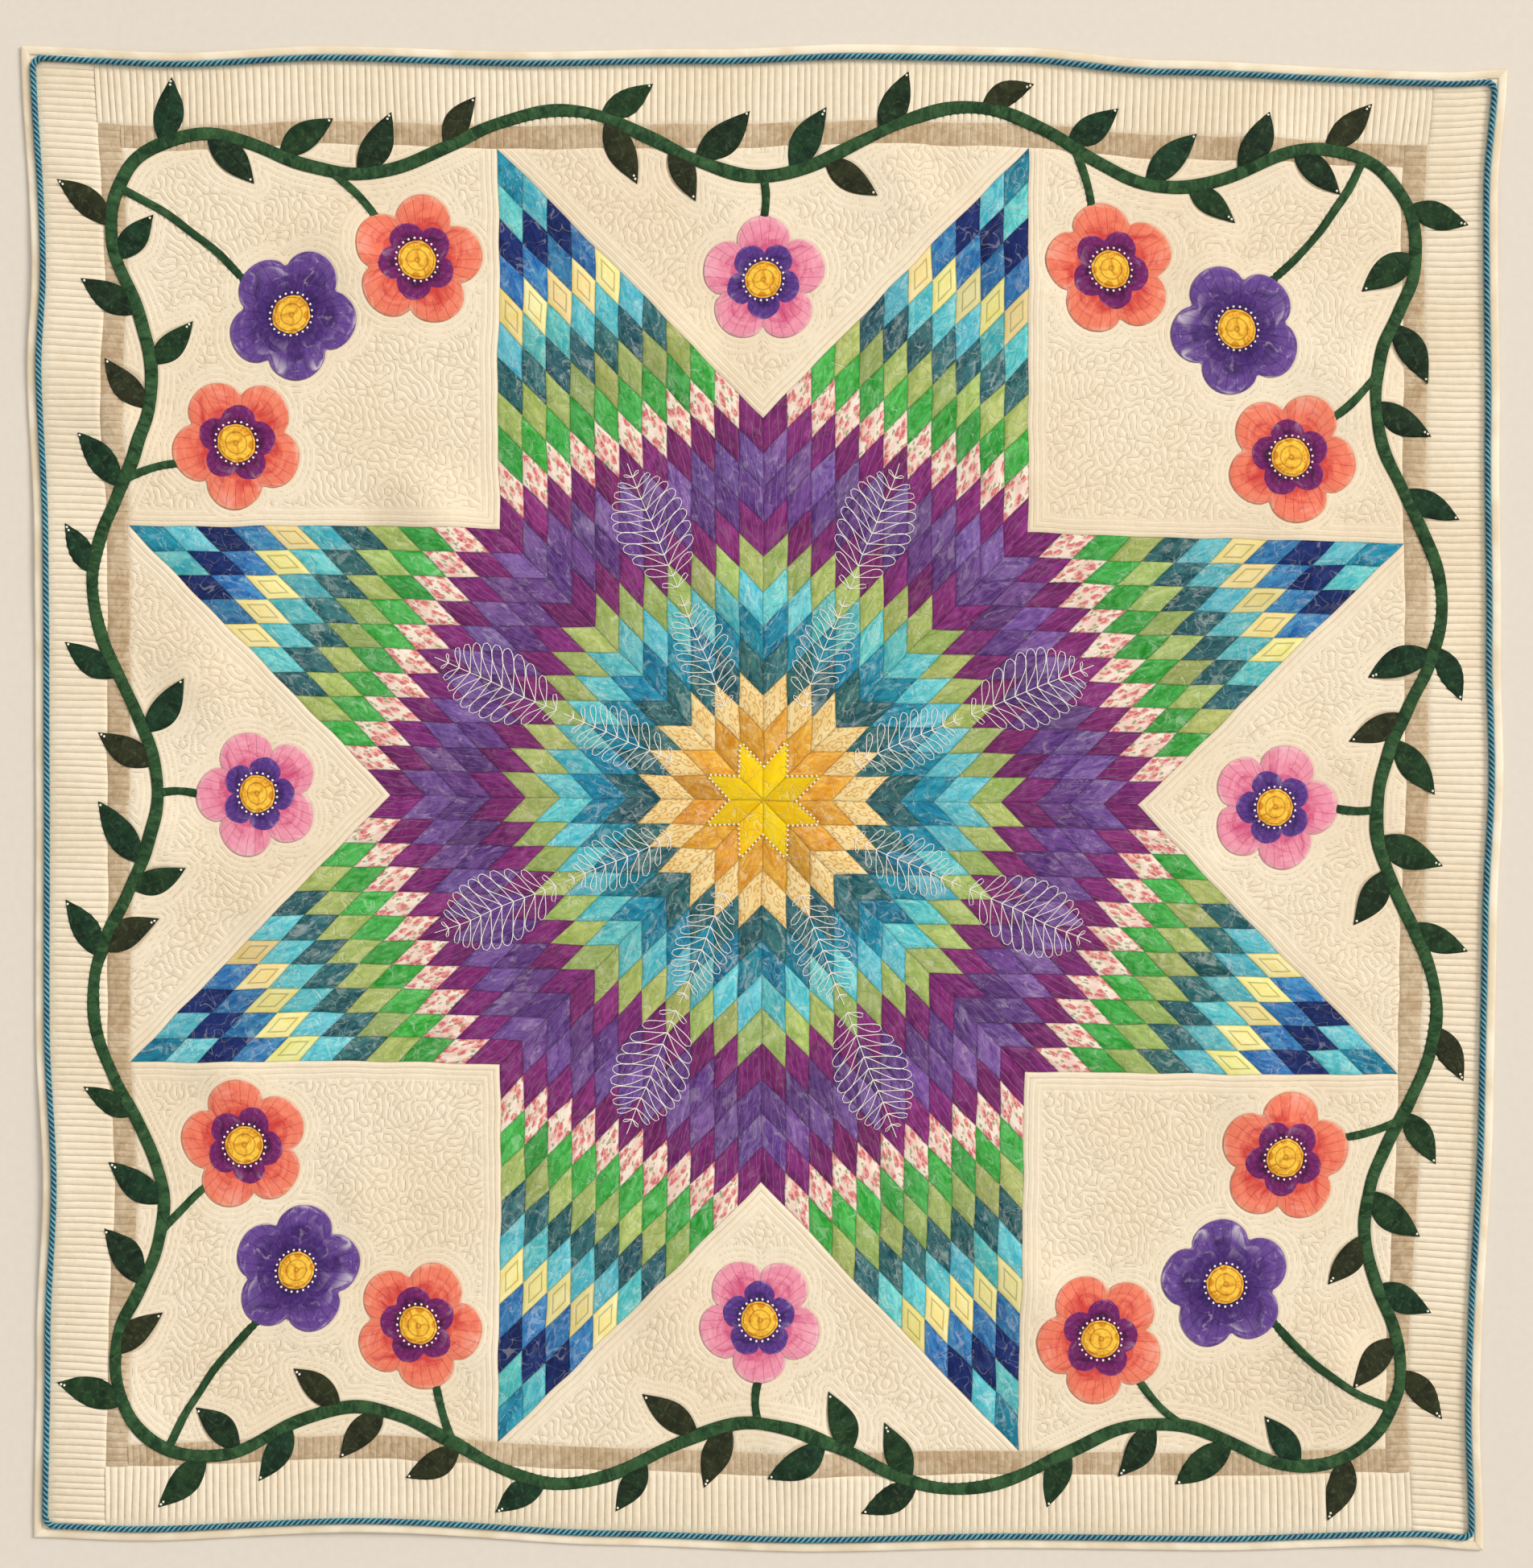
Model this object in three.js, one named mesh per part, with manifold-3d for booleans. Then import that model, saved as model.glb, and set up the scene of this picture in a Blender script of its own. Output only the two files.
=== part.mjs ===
// A star quilt with an applique vine border, lying flat.
// Millimetres, +Z up, +Y towards the quilt's head. The origin is under the middle of the outline.
// The quilt is drawn on a perfect square, and lay() carries that square to the uneven outline it really has.
import * as THREE from "three";
import { mergeVertices } from "three/addons/utils/BufferGeometryUtils.js";
import Module from "manifold-3d";

const wasm = await Module();
wasm.setup();

// Driving dimensions
const HALF = 1072; // half the side of the square that the quilt is drawn on
const FIELD_HALF = 932; // half the side of the pieced field, which the star's points touch
const DIAMONDS = 11; // small diamonds along one edge of a star point
const STAR_POINTS = 8;
const GAP = 0.3; // between pieces that touch
const SEAM_TOP = 2.6; // thickness where a seam or a line of stitches holds the layers together
const PUFF_TOP = 5.0; // thickness at the middle of a puff
const EDGE_TOP = 3.6; // thickness beside the binding

// Binding, piping and border quilting
const STATIONS = 20; // steps along each side of the edge
const BINDING = { width: 13.5, height: 5.4, cloth: 1.0, nose: 2.0 };
const PIPING = { radius: 4.8, sides: 6 };
const CHANNELS = { pitch: 25, ridge: 62, foot: 25, valley: 3.2 }; // ridge and foot: in from the edge

// Applique
const APPLIQUE_FOOT = PUFF_TOP + GAP; // underside of what is sewn on
const STEM = { width: 18, thickness: 2.0, foot: APPLIQUE_FOOT + 0.1, steps: 30 };
const STALK = { width: 12, thickness: 1.7, foot: APPLIQUE_FOOT + 0.2, steps: 4, clear: 4, bend: 0.12 };
const LEAF = { thickness: 1.2, rib: 0.6, width: 0.43 }; // width is a share of the leaf's length
const VINE = { guide: 938, corner: 200, swing: 48, waves: 3 }; // the line it waves about, and waves to a side
const PETALS = { count: 5, radius: 95, notch: 0.3, rim: 1.2, crown: 1.7, points: 3 };
const CENTRE = { radius: 29, thickness: 1.6, sides: 10 };

// Where the corners of the drawn square really lie
const CORNERS = {
  northWest: [-1079, 1093],
  northEast: [1079, 1058],
  southEast: [1044, -1092],
  southWest: [-1060, -1073],
};

// How far each edge bows out of the line between its corners: at goes along it, from the west or the north
const EDGE_BOW = {
  north: [
    { at: 0, out: 0 },
    { at: 0.1, out: -8 },
    { at: 0.21, out: 7 },
    { at: 0.33, out: 3 },
    { at: 0.46, out: 11 },
    { at: 0.57, out: 22 },
    { at: 0.67, out: 21 },
    { at: 0.77, out: 5 },
    { at: 0.96, out: -5 },
    { at: 1, out: 0 },
  ],
  east: [
    { at: 0, out: 0 },
    { at: 0.085, out: -12 },
    { at: 0.24, out: -3 },
    { at: 0.39, out: 4 },
    { at: 0.48, out: 11 },
    { at: 0.57, out: 5 },
    { at: 0.7, out: 4 },
    { at: 0.9, out: -10 },
    { at: 1, out: 0 },
  ],
  south: [
    { at: 0, out: 0 },
    { at: 0.07, out: 4 },
    { at: 0.23, out: -13 },
    { at: 0.4, out: 4 },
    { at: 0.53, out: 11 },
    { at: 0.68, out: 3 },
    { at: 0.81, out: 4 },
    { at: 0.95, out: -7 },
    { at: 1, out: 0 },
  ],
  west: [
    { at: 0, out: 0 },
    { at: 0.15, out: -14 },
    { at: 0.22, out: -5 },
    { at: 0.33, out: -14 },
    { at: 0.49, out: -12 },
    { at: 0.66, out: -9 },
    { at: 0.76, out: -19 },
    { at: 0.87, out: -6 },
    { at: 1, out: 0 },
  ],
};
const BOW_FADE = 3; // power by which a bow dies away towards the opposite edge

// Low ripples where the edge is drawn in: rise off the floor, and half their length along the edge
const RIPPLES = [
  { side: "north", at: 0.1, rise: 4, spread: 190 },
  { side: "north", at: 0.8, rise: 3, spread: 170 },
  { side: "east", at: 0.1, rise: 4, spread: 200 },
  { side: "east", at: 0.9, rise: 4, spread: 190 },
  { side: "south", at: 0.23, rise: 5, spread: 230 },
  { side: "south", at: 0.93, rise: 3, spread: 140 },
  { side: "west", at: 0.16, rise: 4, spread: 180 },
  { side: "west", at: 0.34, rise: 3, spread: 170 },
  { side: "west", at: 0.76, rise: 5, spread: 220 },
];
const RIPPLE_REACH = CHANNELS.ridge; // ripples fall from the border's foot to nothing here

// Leaves of one side's vine: at is the way along from the side's middle, hand is 1 outwards and -1 inwards
const LEAVES = [
  { at: -856, hand: 1, length: 98, angle: 50 },
  { at: -798, hand: -1, length: 94, angle: 48 },
  { at: -704, hand: 1, length: 100, angle: 58 },
  { at: -588, hand: 1, length: 98, angle: 55 },
  { at: -462, hand: 1, length: 88, angle: 36 },
  { at: -236, hand: 1, length: 92, angle: 46 },
  { at: -226, hand: -1, length: 98, angle: 46 },
  { at: -137, hand: -1, length: 90, angle: 40 },
  { at: -100, hand: 1, length: 104, angle: 60 },
  { at: 42, hand: 1, length: 100, angle: 52 },
  { at: 89, hand: -1, length: 96, angle: 56 },
  { at: 168, hand: 1, length: 92, angle: 36 },
  { at: 315, hand: 1, length: 86, angle: 34 },
  { at: 441, hand: 1, length: 94, angle: 62 },
  { at: 557, hand: 1, length: 98, angle: 58 },
  { at: 620, hand: -1, length: 88, angle: 46 },
  { at: 693, hand: 1, length: 96, angle: 40 },
  { at: 767, hand: -1, length: 92, angle: 58 },
  { at: 809, hand: 1, length: 96, angle: 48 },
];
const LEAF_VARY = { length: 0.05, angle: 4 }; // share and degrees by which cut leaves differ

// Flowers of one side: the middle of each on the drawn square, its turn, and where its stalk leaves the vine
const FLOWERS = [
  { x: -505, y: 768, turn: 10, stalk: -630, size: 1, colour: "coral" },
  { x: 0, y: 742, turn: 18, stalk: 0, size: 0.96, colour: "pink" },
  { x: 505, y: 768, turn: 30, stalk: 452, size: 1, colour: "coral" },
  { x: 688, y: 688, turn: 45, stalk: 856, size: 1, colour: "purple" },
];

// Sides in turn, anticlockwise: each is drawn as the north one and turned about the middle
const SIDES = ["north", "west", "south", "east"];

// Smooth value of a table's column between the two rows on either side
function eased(rows, at) {
  const clamped = THREE.MathUtils.clamp(at, 0, 1);
  const next = Math.max(1, rows.findIndex((row) => row.at >= clamped));
  const [before, after] = [rows[next - 1], rows[next]];
  const share = THREE.MathUtils.smoothstep(clamped, before.at, after.at);
  return THREE.MathUtils.lerp(before.out, after.out, share);
}

// Distance in from each edge of the drawn square, and the way along it
function edgesOf(x, y) {
  const across = (x + HALF) / (2 * HALF);
  const down = (HALF - y) / (2 * HALF);
  return {
    north: { inward: HALF - y, along: across },
    east: { inward: HALF - x, along: down },
    south: { inward: HALF + y, along: across },
    west: { inward: HALF + x, along: down },
  };
}

// Height of the ripples over a point of the drawn square
function lift(x, y) {
  const edges = edgesOf(x, y);
  return RIPPLES.reduce((sum, ripple) => {
    const { inward, along } = edges[ripple.side];
    const off = ((along - ripple.at) * 2 * HALF) / ripple.spread;
    if (Math.abs(off) >= 1 || inward >= RIPPLE_REACH) return sum;
    const fall = (RIPPLE_REACH - Math.max(inward, CHANNELS.foot)) / (RIPPLE_REACH - CHANNELS.foot);
    return sum + ripple.rise * (1 - off * off) ** 2 * fall;
  }, 0);
}

// A point of the drawn square on the uneven outline, before it is centred
function warp(x, y) {
  const { north, east, south, west } = edgesOf(x, y);
  const across = north.along;
  const up = 1 - east.along;
  const mix = (axis) =>
    (1 - across) * up * CORNERS.northWest[axis] +
    across * up * CORNERS.northEast[axis] +
    across * (1 - up) * CORNERS.southEast[axis] +
    (1 - across) * (1 - up) * CORNERS.southWest[axis];
  const bow = (side, along, share) => eased(EDGE_BOW[side], along) * share ** BOW_FADE;
  return new THREE.Vector2(
    mix(0) + bow("east", east.along, across) - bow("west", west.along, 1 - across),
    mix(1) + bow("north", north.along, up) - bow("south", south.along, 1 - up),
  );
}

// Corners of the drawn square's rim at a given half side, anticlockwise from the south west
function rimCorners(half) {
  return [
    [-half, -half],
    [half, -half],
    [half, half],
    [-half, half],
  ];
}

// The four sides of a square rim as lists of [x, y], each from corner to corner
function rim(half, steps) {
  const corners = rimCorners(half);
  return corners.map((from, side) => {
    const to = corners[(side + 1) % 4];
    return Array.from({ length: steps + 1 }, (_, step) => [
      THREE.MathUtils.lerp(from[0], to[0], step / steps),
      THREE.MathUtils.lerp(from[1], to[1], step / steps),
    ]);
  });
}

// The outline's box is centred on the origin
const OUTLINE = new THREE.Box2().setFromPoints(
  rim(HALF, STATIONS).flat().map(([x, y]) => warp(x, y)),
);
const MIDDLE = OUTLINE.getCenter(new THREE.Vector2());

// A point of the drawn square, at a height over the quilt's underside, where it really lies
function lay(x, y, height) {
  const { x: east, y: north } = warp(x, y).sub(MIDDLE);
  return new THREE.Vector3(east, north, height + lift(x, y));
}

// A surface gathered triangle by triangle
class Skin {
  corners = [];

  triangle(a, b, c) {
    this.corners.push(...a.toArray(), ...b.toArray(), ...c.toArray());
  }

  quad(a, b, c, d) {
    this.triangle(a, b, c);
    this.triangle(a, c, d);
  }

  // Between two lines that run the same way, the second to the right of the first; share is the way along
  zip(first, second) {
    let [i, j] = [0, 0];
    while (i < first.length - 1 || j < second.length - 1) {
      const stepFirst = j === second.length - 1 || first[i + 1]?.share < second[j + 1].share;
      if (stepFirst) {
        this.triangle(first[i].point, second[j].point, first[i + 1].point);
        i += 1;
      } else {
        this.triangle(first[i].point, second[j].point, second[j + 1].point);
        j += 1;
      }
    }
  }

  geometry() {
    const soup = new THREE.BufferGeometry();
    soup.setAttribute("position", new THREE.Float32BufferAttribute(this.corners, 3));
    return mergeVertices(soup, 1e-3);
  }
}

// One side of a rim as points with their shares along it
function laidSide(side, heightOf) {
  const [from, to] = [side[0], side[side.length - 1]];
  const whole = Math.hypot(to[0] - from[0], to[1] - from[1]);
  return side.map(([x, y], step) => ({
    point: lay(x, y, heightOf(step)),
    share: Math.hypot(x - from[0], y - from[1]) / whole,
  }));
}

// A closed ring of the edge's stations, at a distance in from the edge and a height
function edgeRing(inward, height) {
  return rim(HALF - inward, STATIONS).flatMap((side) =>
    side.slice(0, -1).map(([x, y]) => lay(x, y, height)),
  );
}

// One side of that ring, drawn back from its corners so that mitred ends don't touch
function mitredSide(side, inward, height) {
  const line = rim(HALF - inward, STATIONS)[side];
  const [from, to] = [line[0], line[STATIONS]].map((corner) => new THREE.Vector2(...corner));
  const back = to.clone().sub(from).setLength(GAP * Math.SQRT1_2);
  return line.map(([x, y], step) => {
    const spot = new THREE.Vector2(x, y);
    if (step === 0) spot.add(back);
    if (step === STATIONS) spot.sub(back);
    return lay(spot.x, spot.y, height);
  });
}

// The surface between neighbouring rings of a list, and back to the first if it is closed
function loft(skin, rings, closed) {
  const last = closed ? rings.length : rings.length - 1;
  for (let row = 0; row < last; row += 1) {
    const [near, far] = [rings[row], rings[(row + 1) % rings.length]];
    near.forEach((point, i) => {
      const next = (i + 1) % near.length;
      skin.quad(point, far[i], far[next], near[next]);
    });
  }
}

// Star, corner squares and side triangles of the pieced field
const STAR_EDGE = FIELD_HALF / (1 + Math.SQRT1_2);
const dir = (turn) => new THREE.Vector2(Math.cos(turn), Math.sin(turn));
const EIGHTH = (2 * Math.PI) / STAR_POINTS;

// Puffed diamonds of one star point
function starPoint(skin, point) {
  const [along, across] = [dir(point * EIGHTH), dir((point + 1) * EIGHTH)];
  const at = (i, j, height) => {
    const spot = along.clone().multiplyScalar(i).addScaledVector(across, j);
    spot.multiplyScalar(STAR_EDGE / DIAMONDS);
    return lay(spot.x, spot.y, height);
  };
  for (let i = 0; i < DIAMONDS; i += 1) {
    for (let j = 0; j < DIAMONDS; j += 1) {
      const ring = [
        at(i, j, SEAM_TOP),
        at(i + 1, j, SEAM_TOP),
        at(i + 1, j + 1, SEAM_TOP),
        at(i, j + 1, SEAM_TOP),
      ];
      const puff = at(i + 0.5, j + 0.5, PUFF_TOP);
      ring.forEach((corner, k) => skin.triangle(corner, ring[(k + 1) % ring.length], puff));
    }
  }
}

// Height of the ground's close quilting, lower along the seams round it
function groundTop(x, y, onSeam) {
  if (onSeam) return SEAM_TOP;
  const lump = 0.5 + 0.5 * Math.sin(x / 31 + y / 57) * Math.cos(y / 37 - x / 71);
  return THREE.MathUtils.lerp(SEAM_TOP + 1, PUFF_TOP, lump);
}

// Ground between two star points: a square at a corner of the field, or half of one at the middle of a side
function groundPatch(skin, notch) {
  const isSquare = notch % 2 === 1;
  const apex = dir(notch * EIGHTH).multiplyScalar(STAR_EDGE);
  const [along, across] = [dir((notch - 1) * EIGHTH), dir((notch + 1) * EIGHTH)];
  const at = (i, j) => {
    const spot = apex.clone();
    spot.addScaledVector(along, (i * STAR_EDGE) / DIAMONDS);
    spot.addScaledVector(across, (j * STAR_EDGE) / DIAMONDS);
    const outside = isSquare ? i === DIAMONDS || j === DIAMONDS : i + j === DIAMONDS;
    return lay(spot.x, spot.y, groundTop(spot.x, spot.y, i === 0 || j === 0 || outside));
  };
  for (let i = 0; i < DIAMONDS; i += 1) {
    const row = isSquare ? DIAMONDS : DIAMONDS - i;
    for (let j = 0; j < row; j += 1) {
      skin.triangle(at(i, j), at(i + 1, j), at(i, j + 1));
      if (isSquare || j < row - 1) skin.triangle(at(i + 1, j), at(i + 1, j + 1), at(i, j + 1));
    }
  }
}

// The field's rim, with a point wherever a seam of the field ends on it
function fieldRim() {
  const tip = FIELD_HALF - STAR_EDGE;
  const stretches = [
    [-FIELD_HALF, -tip],
    [-tip, tip],
    [tip, FIELD_HALF],
  ];
  const steps = stretches.flatMap(([from, to]) =>
    Array.from({ length: DIAMONDS }, (_, i) => THREE.MathUtils.lerp(from, to, i / DIAMONDS)),
  );
  steps.push(FIELD_HALF);
  return [
    steps.map((s) => [s, -FIELD_HALF]),
    steps.map((s) => [FIELD_HALF, s]),
    steps.map((s) => [-s, FIELD_HALF]),
    steps.map((s) => [-FIELD_HALF, -s]),
  ];
}

// Border: its channels rise from the field's rim to a ridged line, and fall to the edge
function border(skin) {
  const ridgeHalf = HALF - CHANNELS.ridge;
  const ridges = 2 * Math.round(ridgeHalf / CHANNELS.pitch) * 2;
  const inner = fieldRim();
  const middle = rim(ridgeHalf, ridges);
  const foot = rim(HALF - CHANNELS.foot, STATIONS);
  for (let side = 0; side < 4; side += 1) {
    const line = laidSide(middle[side], (step) => (step % 2 ? PUFF_TOP : CHANNELS.valley));
    skin.zip(laidSide(inner[side], () => SEAM_TOP), line);
    skin.zip(line, laidSide(foot[side], () => EDGE_TOP));
  }
}

// Edge that the binding wraps, and the underside, flat on the floor inside the ripples
function edgeAndUnderside(skin) {
  const under = BINDING.cloth + GAP;
  const rawEdge = BINDING.nose + BINDING.cloth + GAP;
  const rings = [
    edgeRing(CHANNELS.foot, EDGE_TOP),
    edgeRing(rawEdge, EDGE_TOP),
    edgeRing(rawEdge, under),
    edgeRing(BINDING.width + 0.7, under),
    edgeRing(BINDING.width + 2, 0),
    edgeRing(RIPPLE_REACH, 0),
  ];
  loft(skin, rings, false);
  const flat = rings[rings.length - 1];
  const middle = lay(0, 0, 0);
  flat.forEach((point, i) => skin.triangle(point, middle, flat[(i + 1) % flat.length]));
}

function quiltBody() {
  const skin = new Skin();
  for (let point = 0; point < STAR_POINTS; point += 1) {
    starPoint(skin, point);
    groundPatch(skin, point + 1);
  }
  border(skin);
  edgeAndUnderside(skin);
  return skin.geometry();
}

// Folded strip over the raw edge of one side, mitred at both ends
function binding(side) {
  const { width, height, cloth, nose } = BINDING;
  const slot = nose + cloth - GAP / 2;
  const section = [
    { inward: nose, height: height - GAP },
    { inward: width, height },
    { inward: width, height: EDGE_TOP + GAP },
    { inward: slot, height: EDGE_TOP + GAP },
    { inward: slot, height: cloth },
    { inward: width, height: cloth },
    { inward: width, height: 0 },
    { inward: nose, height: 0 },
    { inward: 0, height: height / 2 },
  ];
  const lines = section.map((spot) => mitredSide(side, spot.inward, spot.height));
  const rings = lines[0].map((_, station) => lines.map((line) => line[station]));
  const flat = section.map((spot) => new THREE.Vector2(spot.inward, spot.height));
  const skin = new Skin();
  loft(skin, rings, false);
  for (const [a, b, c] of THREE.ShapeUtils.triangulateShape(flat, [])) {
    const [first, last] = [rings[0], rings[rings.length - 1]];
    skin.triangle(first[a], first[c], first[b]);
    skin.triangle(last[a], last[b], last[c]);
  }
  return skin.geometry();
}

// Cord beside the binding, all round
function piping() {
  const { radius, sides } = PIPING;
  const middle = BINDING.width + GAP + radius;
  const rings = Array.from({ length: sides }, (_, i) => {
    const turn = ((i + 0.5) * 2 * Math.PI) / sides;
    const height = EDGE_TOP + GAP + radius * (1 + Math.sin(turn));
    return edgeRing(middle + radius * Math.cos(turn), height);
  });
  const skin = new Skin();
  loft(skin, rings, true);
  return skin.geometry();
}

// The vine's line on the north side: a wave about a rounded square, at a way along from the side's middle
const STRAIGHT = VINE.guide - VINE.corner;
const QUARTER = STRAIGHT + (VINE.corner * Math.PI) / 4; // from a side's middle to the corner's diagonal
function vineSpot(along) {
  const way = Math.sign(along) || 1;
  const past = Math.max(0, Math.abs(along) - STRAIGHT);
  const turn = past / VINE.corner;
  const out = new THREE.Vector2(way * Math.sin(turn), Math.cos(turn));
  const swing = -VINE.swing * Math.cos((VINE.waves * Math.PI * along) / QUARTER);
  const spot = new THREE.Vector2(way * Math.min(Math.abs(along), STRAIGHT), STRAIGHT);
  return spot.addScaledVector(out, VINE.corner + swing);
}

// Direction of growth at a way along the vine
function vineWay(along) {
  const step = 1;
  return vineSpot(along + step).sub(vineSpot(along - step)).normalize();
}

const ORIGIN = new THREE.Vector2();
const leftOf = (way) => new THREE.Vector2(-way.y, way.x);
const onSide = (spot, side) => spot.clone().rotateAround(ORIGIN, (side * Math.PI) / 2);

// A flat-footed strip of cloth along a list of spots, each with the way it runs there, narrower on top
function strip(spots, { width, thickness, foot }) {
  const shoulder = 0.7;
  const rings = spots.map(({ spot, way }) => {
    const left = leftOf(way).multiplyScalar(width / 2);
    const at = (side, height) =>
      lay(spot.x + side * left.x, spot.y + side * left.y, foot + height);
    return [at(1, 0), at(-1, 0), at(-shoulder, thickness), at(shoulder, thickness)];
  });
  const skin = new Skin();
  loft(skin, rings, false);
  const [first, last] = [rings[0], rings[rings.length - 1]];
  skin.quad(first[0], first[1], first[2], first[3]);
  skin.quad(last[3], last[2], last[1], last[0]);
  return skin.geometry();
}

// A closed patch: a foot, a rim straight above it, and a top that rises to one middle point
function patch(outline, middle, foot, thickness, crown) {
  const skin = new Skin();
  const low = outline.map((spot) => lay(spot.x, spot.y, foot));
  const high = outline.map((spot) => lay(spot.x, spot.y, foot + thickness));
  const top = lay(middle.x, middle.y, foot + crown);
  const under = lay(middle.x, middle.y, foot);
  outline.forEach((_, i) => {
    const next = (i + 1) % outline.length;
    skin.quad(low[i], low[next], high[next], high[i]);
    skin.triangle(high[i], high[next], top);
    skin.triangle(low[next], low[i], under);
  });
  return skin.geometry();
}

// Leaf outline: two bowed sides from its foot in the stem to its tip, anticlockwise
function leafOutline(foot, way, length) {
  const left = leftOf(way);
  const bulges = [0.18, 0.45, 0.76];
  const side = (hand) =>
    bulges.map((share) => {
      const half = (LEAF.width / 2) * length * Math.sin(Math.PI * share ** 0.85);
      return foot.clone().addScaledVector(way, share * length).addScaledVector(left, hand * half);
    });
  const tip = foot.clone().addScaledVector(way, length);
  return [foot, ...side(-1), tip, ...side(1).reverse()];
}

// Cut shapes differ a little from one to the next
const differ = (seed) => Math.sin(seed * 2.399);

function leaf(row, index, side) {
  const foot = vineSpot(row.at);
  const seed = index + side * LEAVES.length;
  const length = row.length * (1 + LEAF_VARY.length * differ(seed));
  const angle = row.angle + LEAF_VARY.angle * differ(seed + 0.5);
  const way = vineWay(row.at).rotateAround(ORIGIN, row.hand * THREE.MathUtils.degToRad(angle));
  const middle = foot.clone().addScaledVector(way, length * 0.45);
  const outline = leafOutline(foot, way, length).map((spot) => onSide(spot, side));
  const crown = LEAF.thickness + LEAF.rib;
  return patch(outline, onSide(middle, side), APPLIQUE_FOOT, LEAF.thickness, crown);
}

// Petal edge of a flower, as a distance from its middle
function petalReach(flower, turn) {
  const spin = THREE.MathUtils.degToRad(flower.turn);
  const lobe = Math.abs(Math.cos((PETALS.count * (turn - spin)) / 2));
  return PETALS.radius * flower.size * (1 - PETALS.notch * (1 - lobe ** 0.6));
}

// An outline round a flower's middle, turned onto its side
function round(flower, side, points, reach) {
  const spin = THREE.MathUtils.degToRad(flower.turn);
  return Array.from({ length: points }, (_, i) => {
    const turn = spin + ((i + 0.5) * 2 * Math.PI) / points;
    const spot = new THREE.Vector2(flower.x, flower.y).addScaledVector(dir(turn), reach(turn));
    return onSide(spot, side);
  });
}

function petals(flower, side) {
  const points = PETALS.count * PETALS.points;
  const outline = round(flower, side, points, (turn) => petalReach(flower, turn));
  const middle = onSide(new THREE.Vector2(flower.x, flower.y), side);
  return patch(outline, middle, APPLIQUE_FOOT, PETALS.rim, PETALS.crown);
}

function centre(flower, side) {
  const outline = round(flower, side, CENTRE.sides, () => CENTRE.radius * flower.size);
  const middle = onSide(new THREE.Vector2(flower.x, flower.y), side);
  const foot = APPLIQUE_FOOT + PETALS.crown + GAP;
  return patch(outline, middle, foot, CENTRE.thickness / 2, CENTRE.thickness);
}

// A stalk bends from the vine to just outside the petals
function stalk(flower, side) {
  const from = vineSpot(flower.stalk);
  const middle = new THREE.Vector2(flower.x, flower.y);
  const back = from.clone().sub(middle);
  const reach = petalReach(flower, back.angle()) + STALK.clear;
  const to = middle.clone().addScaledVector(back.normalize(), reach);
  const lead = vineWay(flower.stalk).multiplyScalar(from.distanceTo(to) * STALK.bend);
  const curve = new THREE.QuadraticBezierCurve(from, from.clone().lerp(to, 0.5).add(lead), to);
  const spots = Array.from({ length: STALK.steps + 1 }, (_, i) => ({
    spot: onSide(curve.getPoint(i / STALK.steps), side),
    way: onSide(curve.getTangent(i / STALK.steps), side),
  }));
  return strip(spots, STALK);
}

// Stem, leaves and stalks of one side, sewn down as one length
function vine(side) {
  const end = QUARTER - GAP / 2;
  const spots = Array.from({ length: STEM.steps + 1 }, (_, i) => {
    const along = THREE.MathUtils.lerp(-end, end, i / STEM.steps);
    return { spot: onSide(vineSpot(along), side), way: onSide(vineWay(along), side) };
  });
  return joined([
    strip(spots, STEM),
    ...LEAVES.map((row, index) => leaf(row, index, side)),
    ...FLOWERS.map((flower) => stalk(flower, side)),
  ]);
}

// Joining of closed geometries
function solidOf(geometry) {
  return new wasm.Manifold(
    new wasm.Mesh({
      numProp: 3,
      vertProperties: geometry.getAttribute("position").array,
      triVerts: new Uint32Array(geometry.index.array),
    }),
  );
}

function joined(geometries) {
  const whole = geometries.map(solidOf).reduce((sum, solid) => sum.add(solid));
  const mesh = whole.getMesh();
  return new THREE.BufferGeometry()
    .setAttribute("position", new THREE.BufferAttribute(mesh.vertProperties, 3))
    .setIndex(new THREE.BufferAttribute(mesh.triVerts, 1));
}

// Cloth of each piece
const cloth = (color, roughness = 0.9) =>
  new THREE.MeshStandardMaterial({ color, roughness, metalness: 0 });
const CLOTHS = {
  body: cloth("#efe4cc"),
  binding: cloth("#f1e9d8"),
  piping: cloth("#4a98b2", 0.7),
  vine: cloth("#24432b"),
  coral: cloth("#e8836a"),
  pink: cloth("#e79ab2"),
  purple: cloth("#55327f"),
  centre: cloth("#d79a2e"),
};

const quilt = new THREE.Group();
quilt.name = "star_quilt";

function piece(name, geometry, material) {
  const mesh = new THREE.Mesh(geometry, material);
  mesh.name = name;
  quilt.add(mesh);
}

piece("quilt_body", quiltBody(), CLOTHS.body);
piece("piping", piping(), CLOTHS.piping);
SIDES.forEach((name, side) => {
  piece(`binding_${name}`, binding((side + 2) % 4), CLOTHS.binding);
  piece(`vine_${name}`, vine(side), CLOTHS.vine);
  FLOWERS.forEach((flower, index) => {
    const stemName = `flower_${name}_${index + 1}`;
    piece(`${stemName}_petals`, petals(flower, side), CLOTHS[flower.colour]);
    piece(`${stemName}_centre`, centre(flower, side), CLOTHS.centre);
  });
});

export default quilt;
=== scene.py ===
import math

import bmesh
import bpy
import numpy as np
from mathutils import Matrix, Vector


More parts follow.
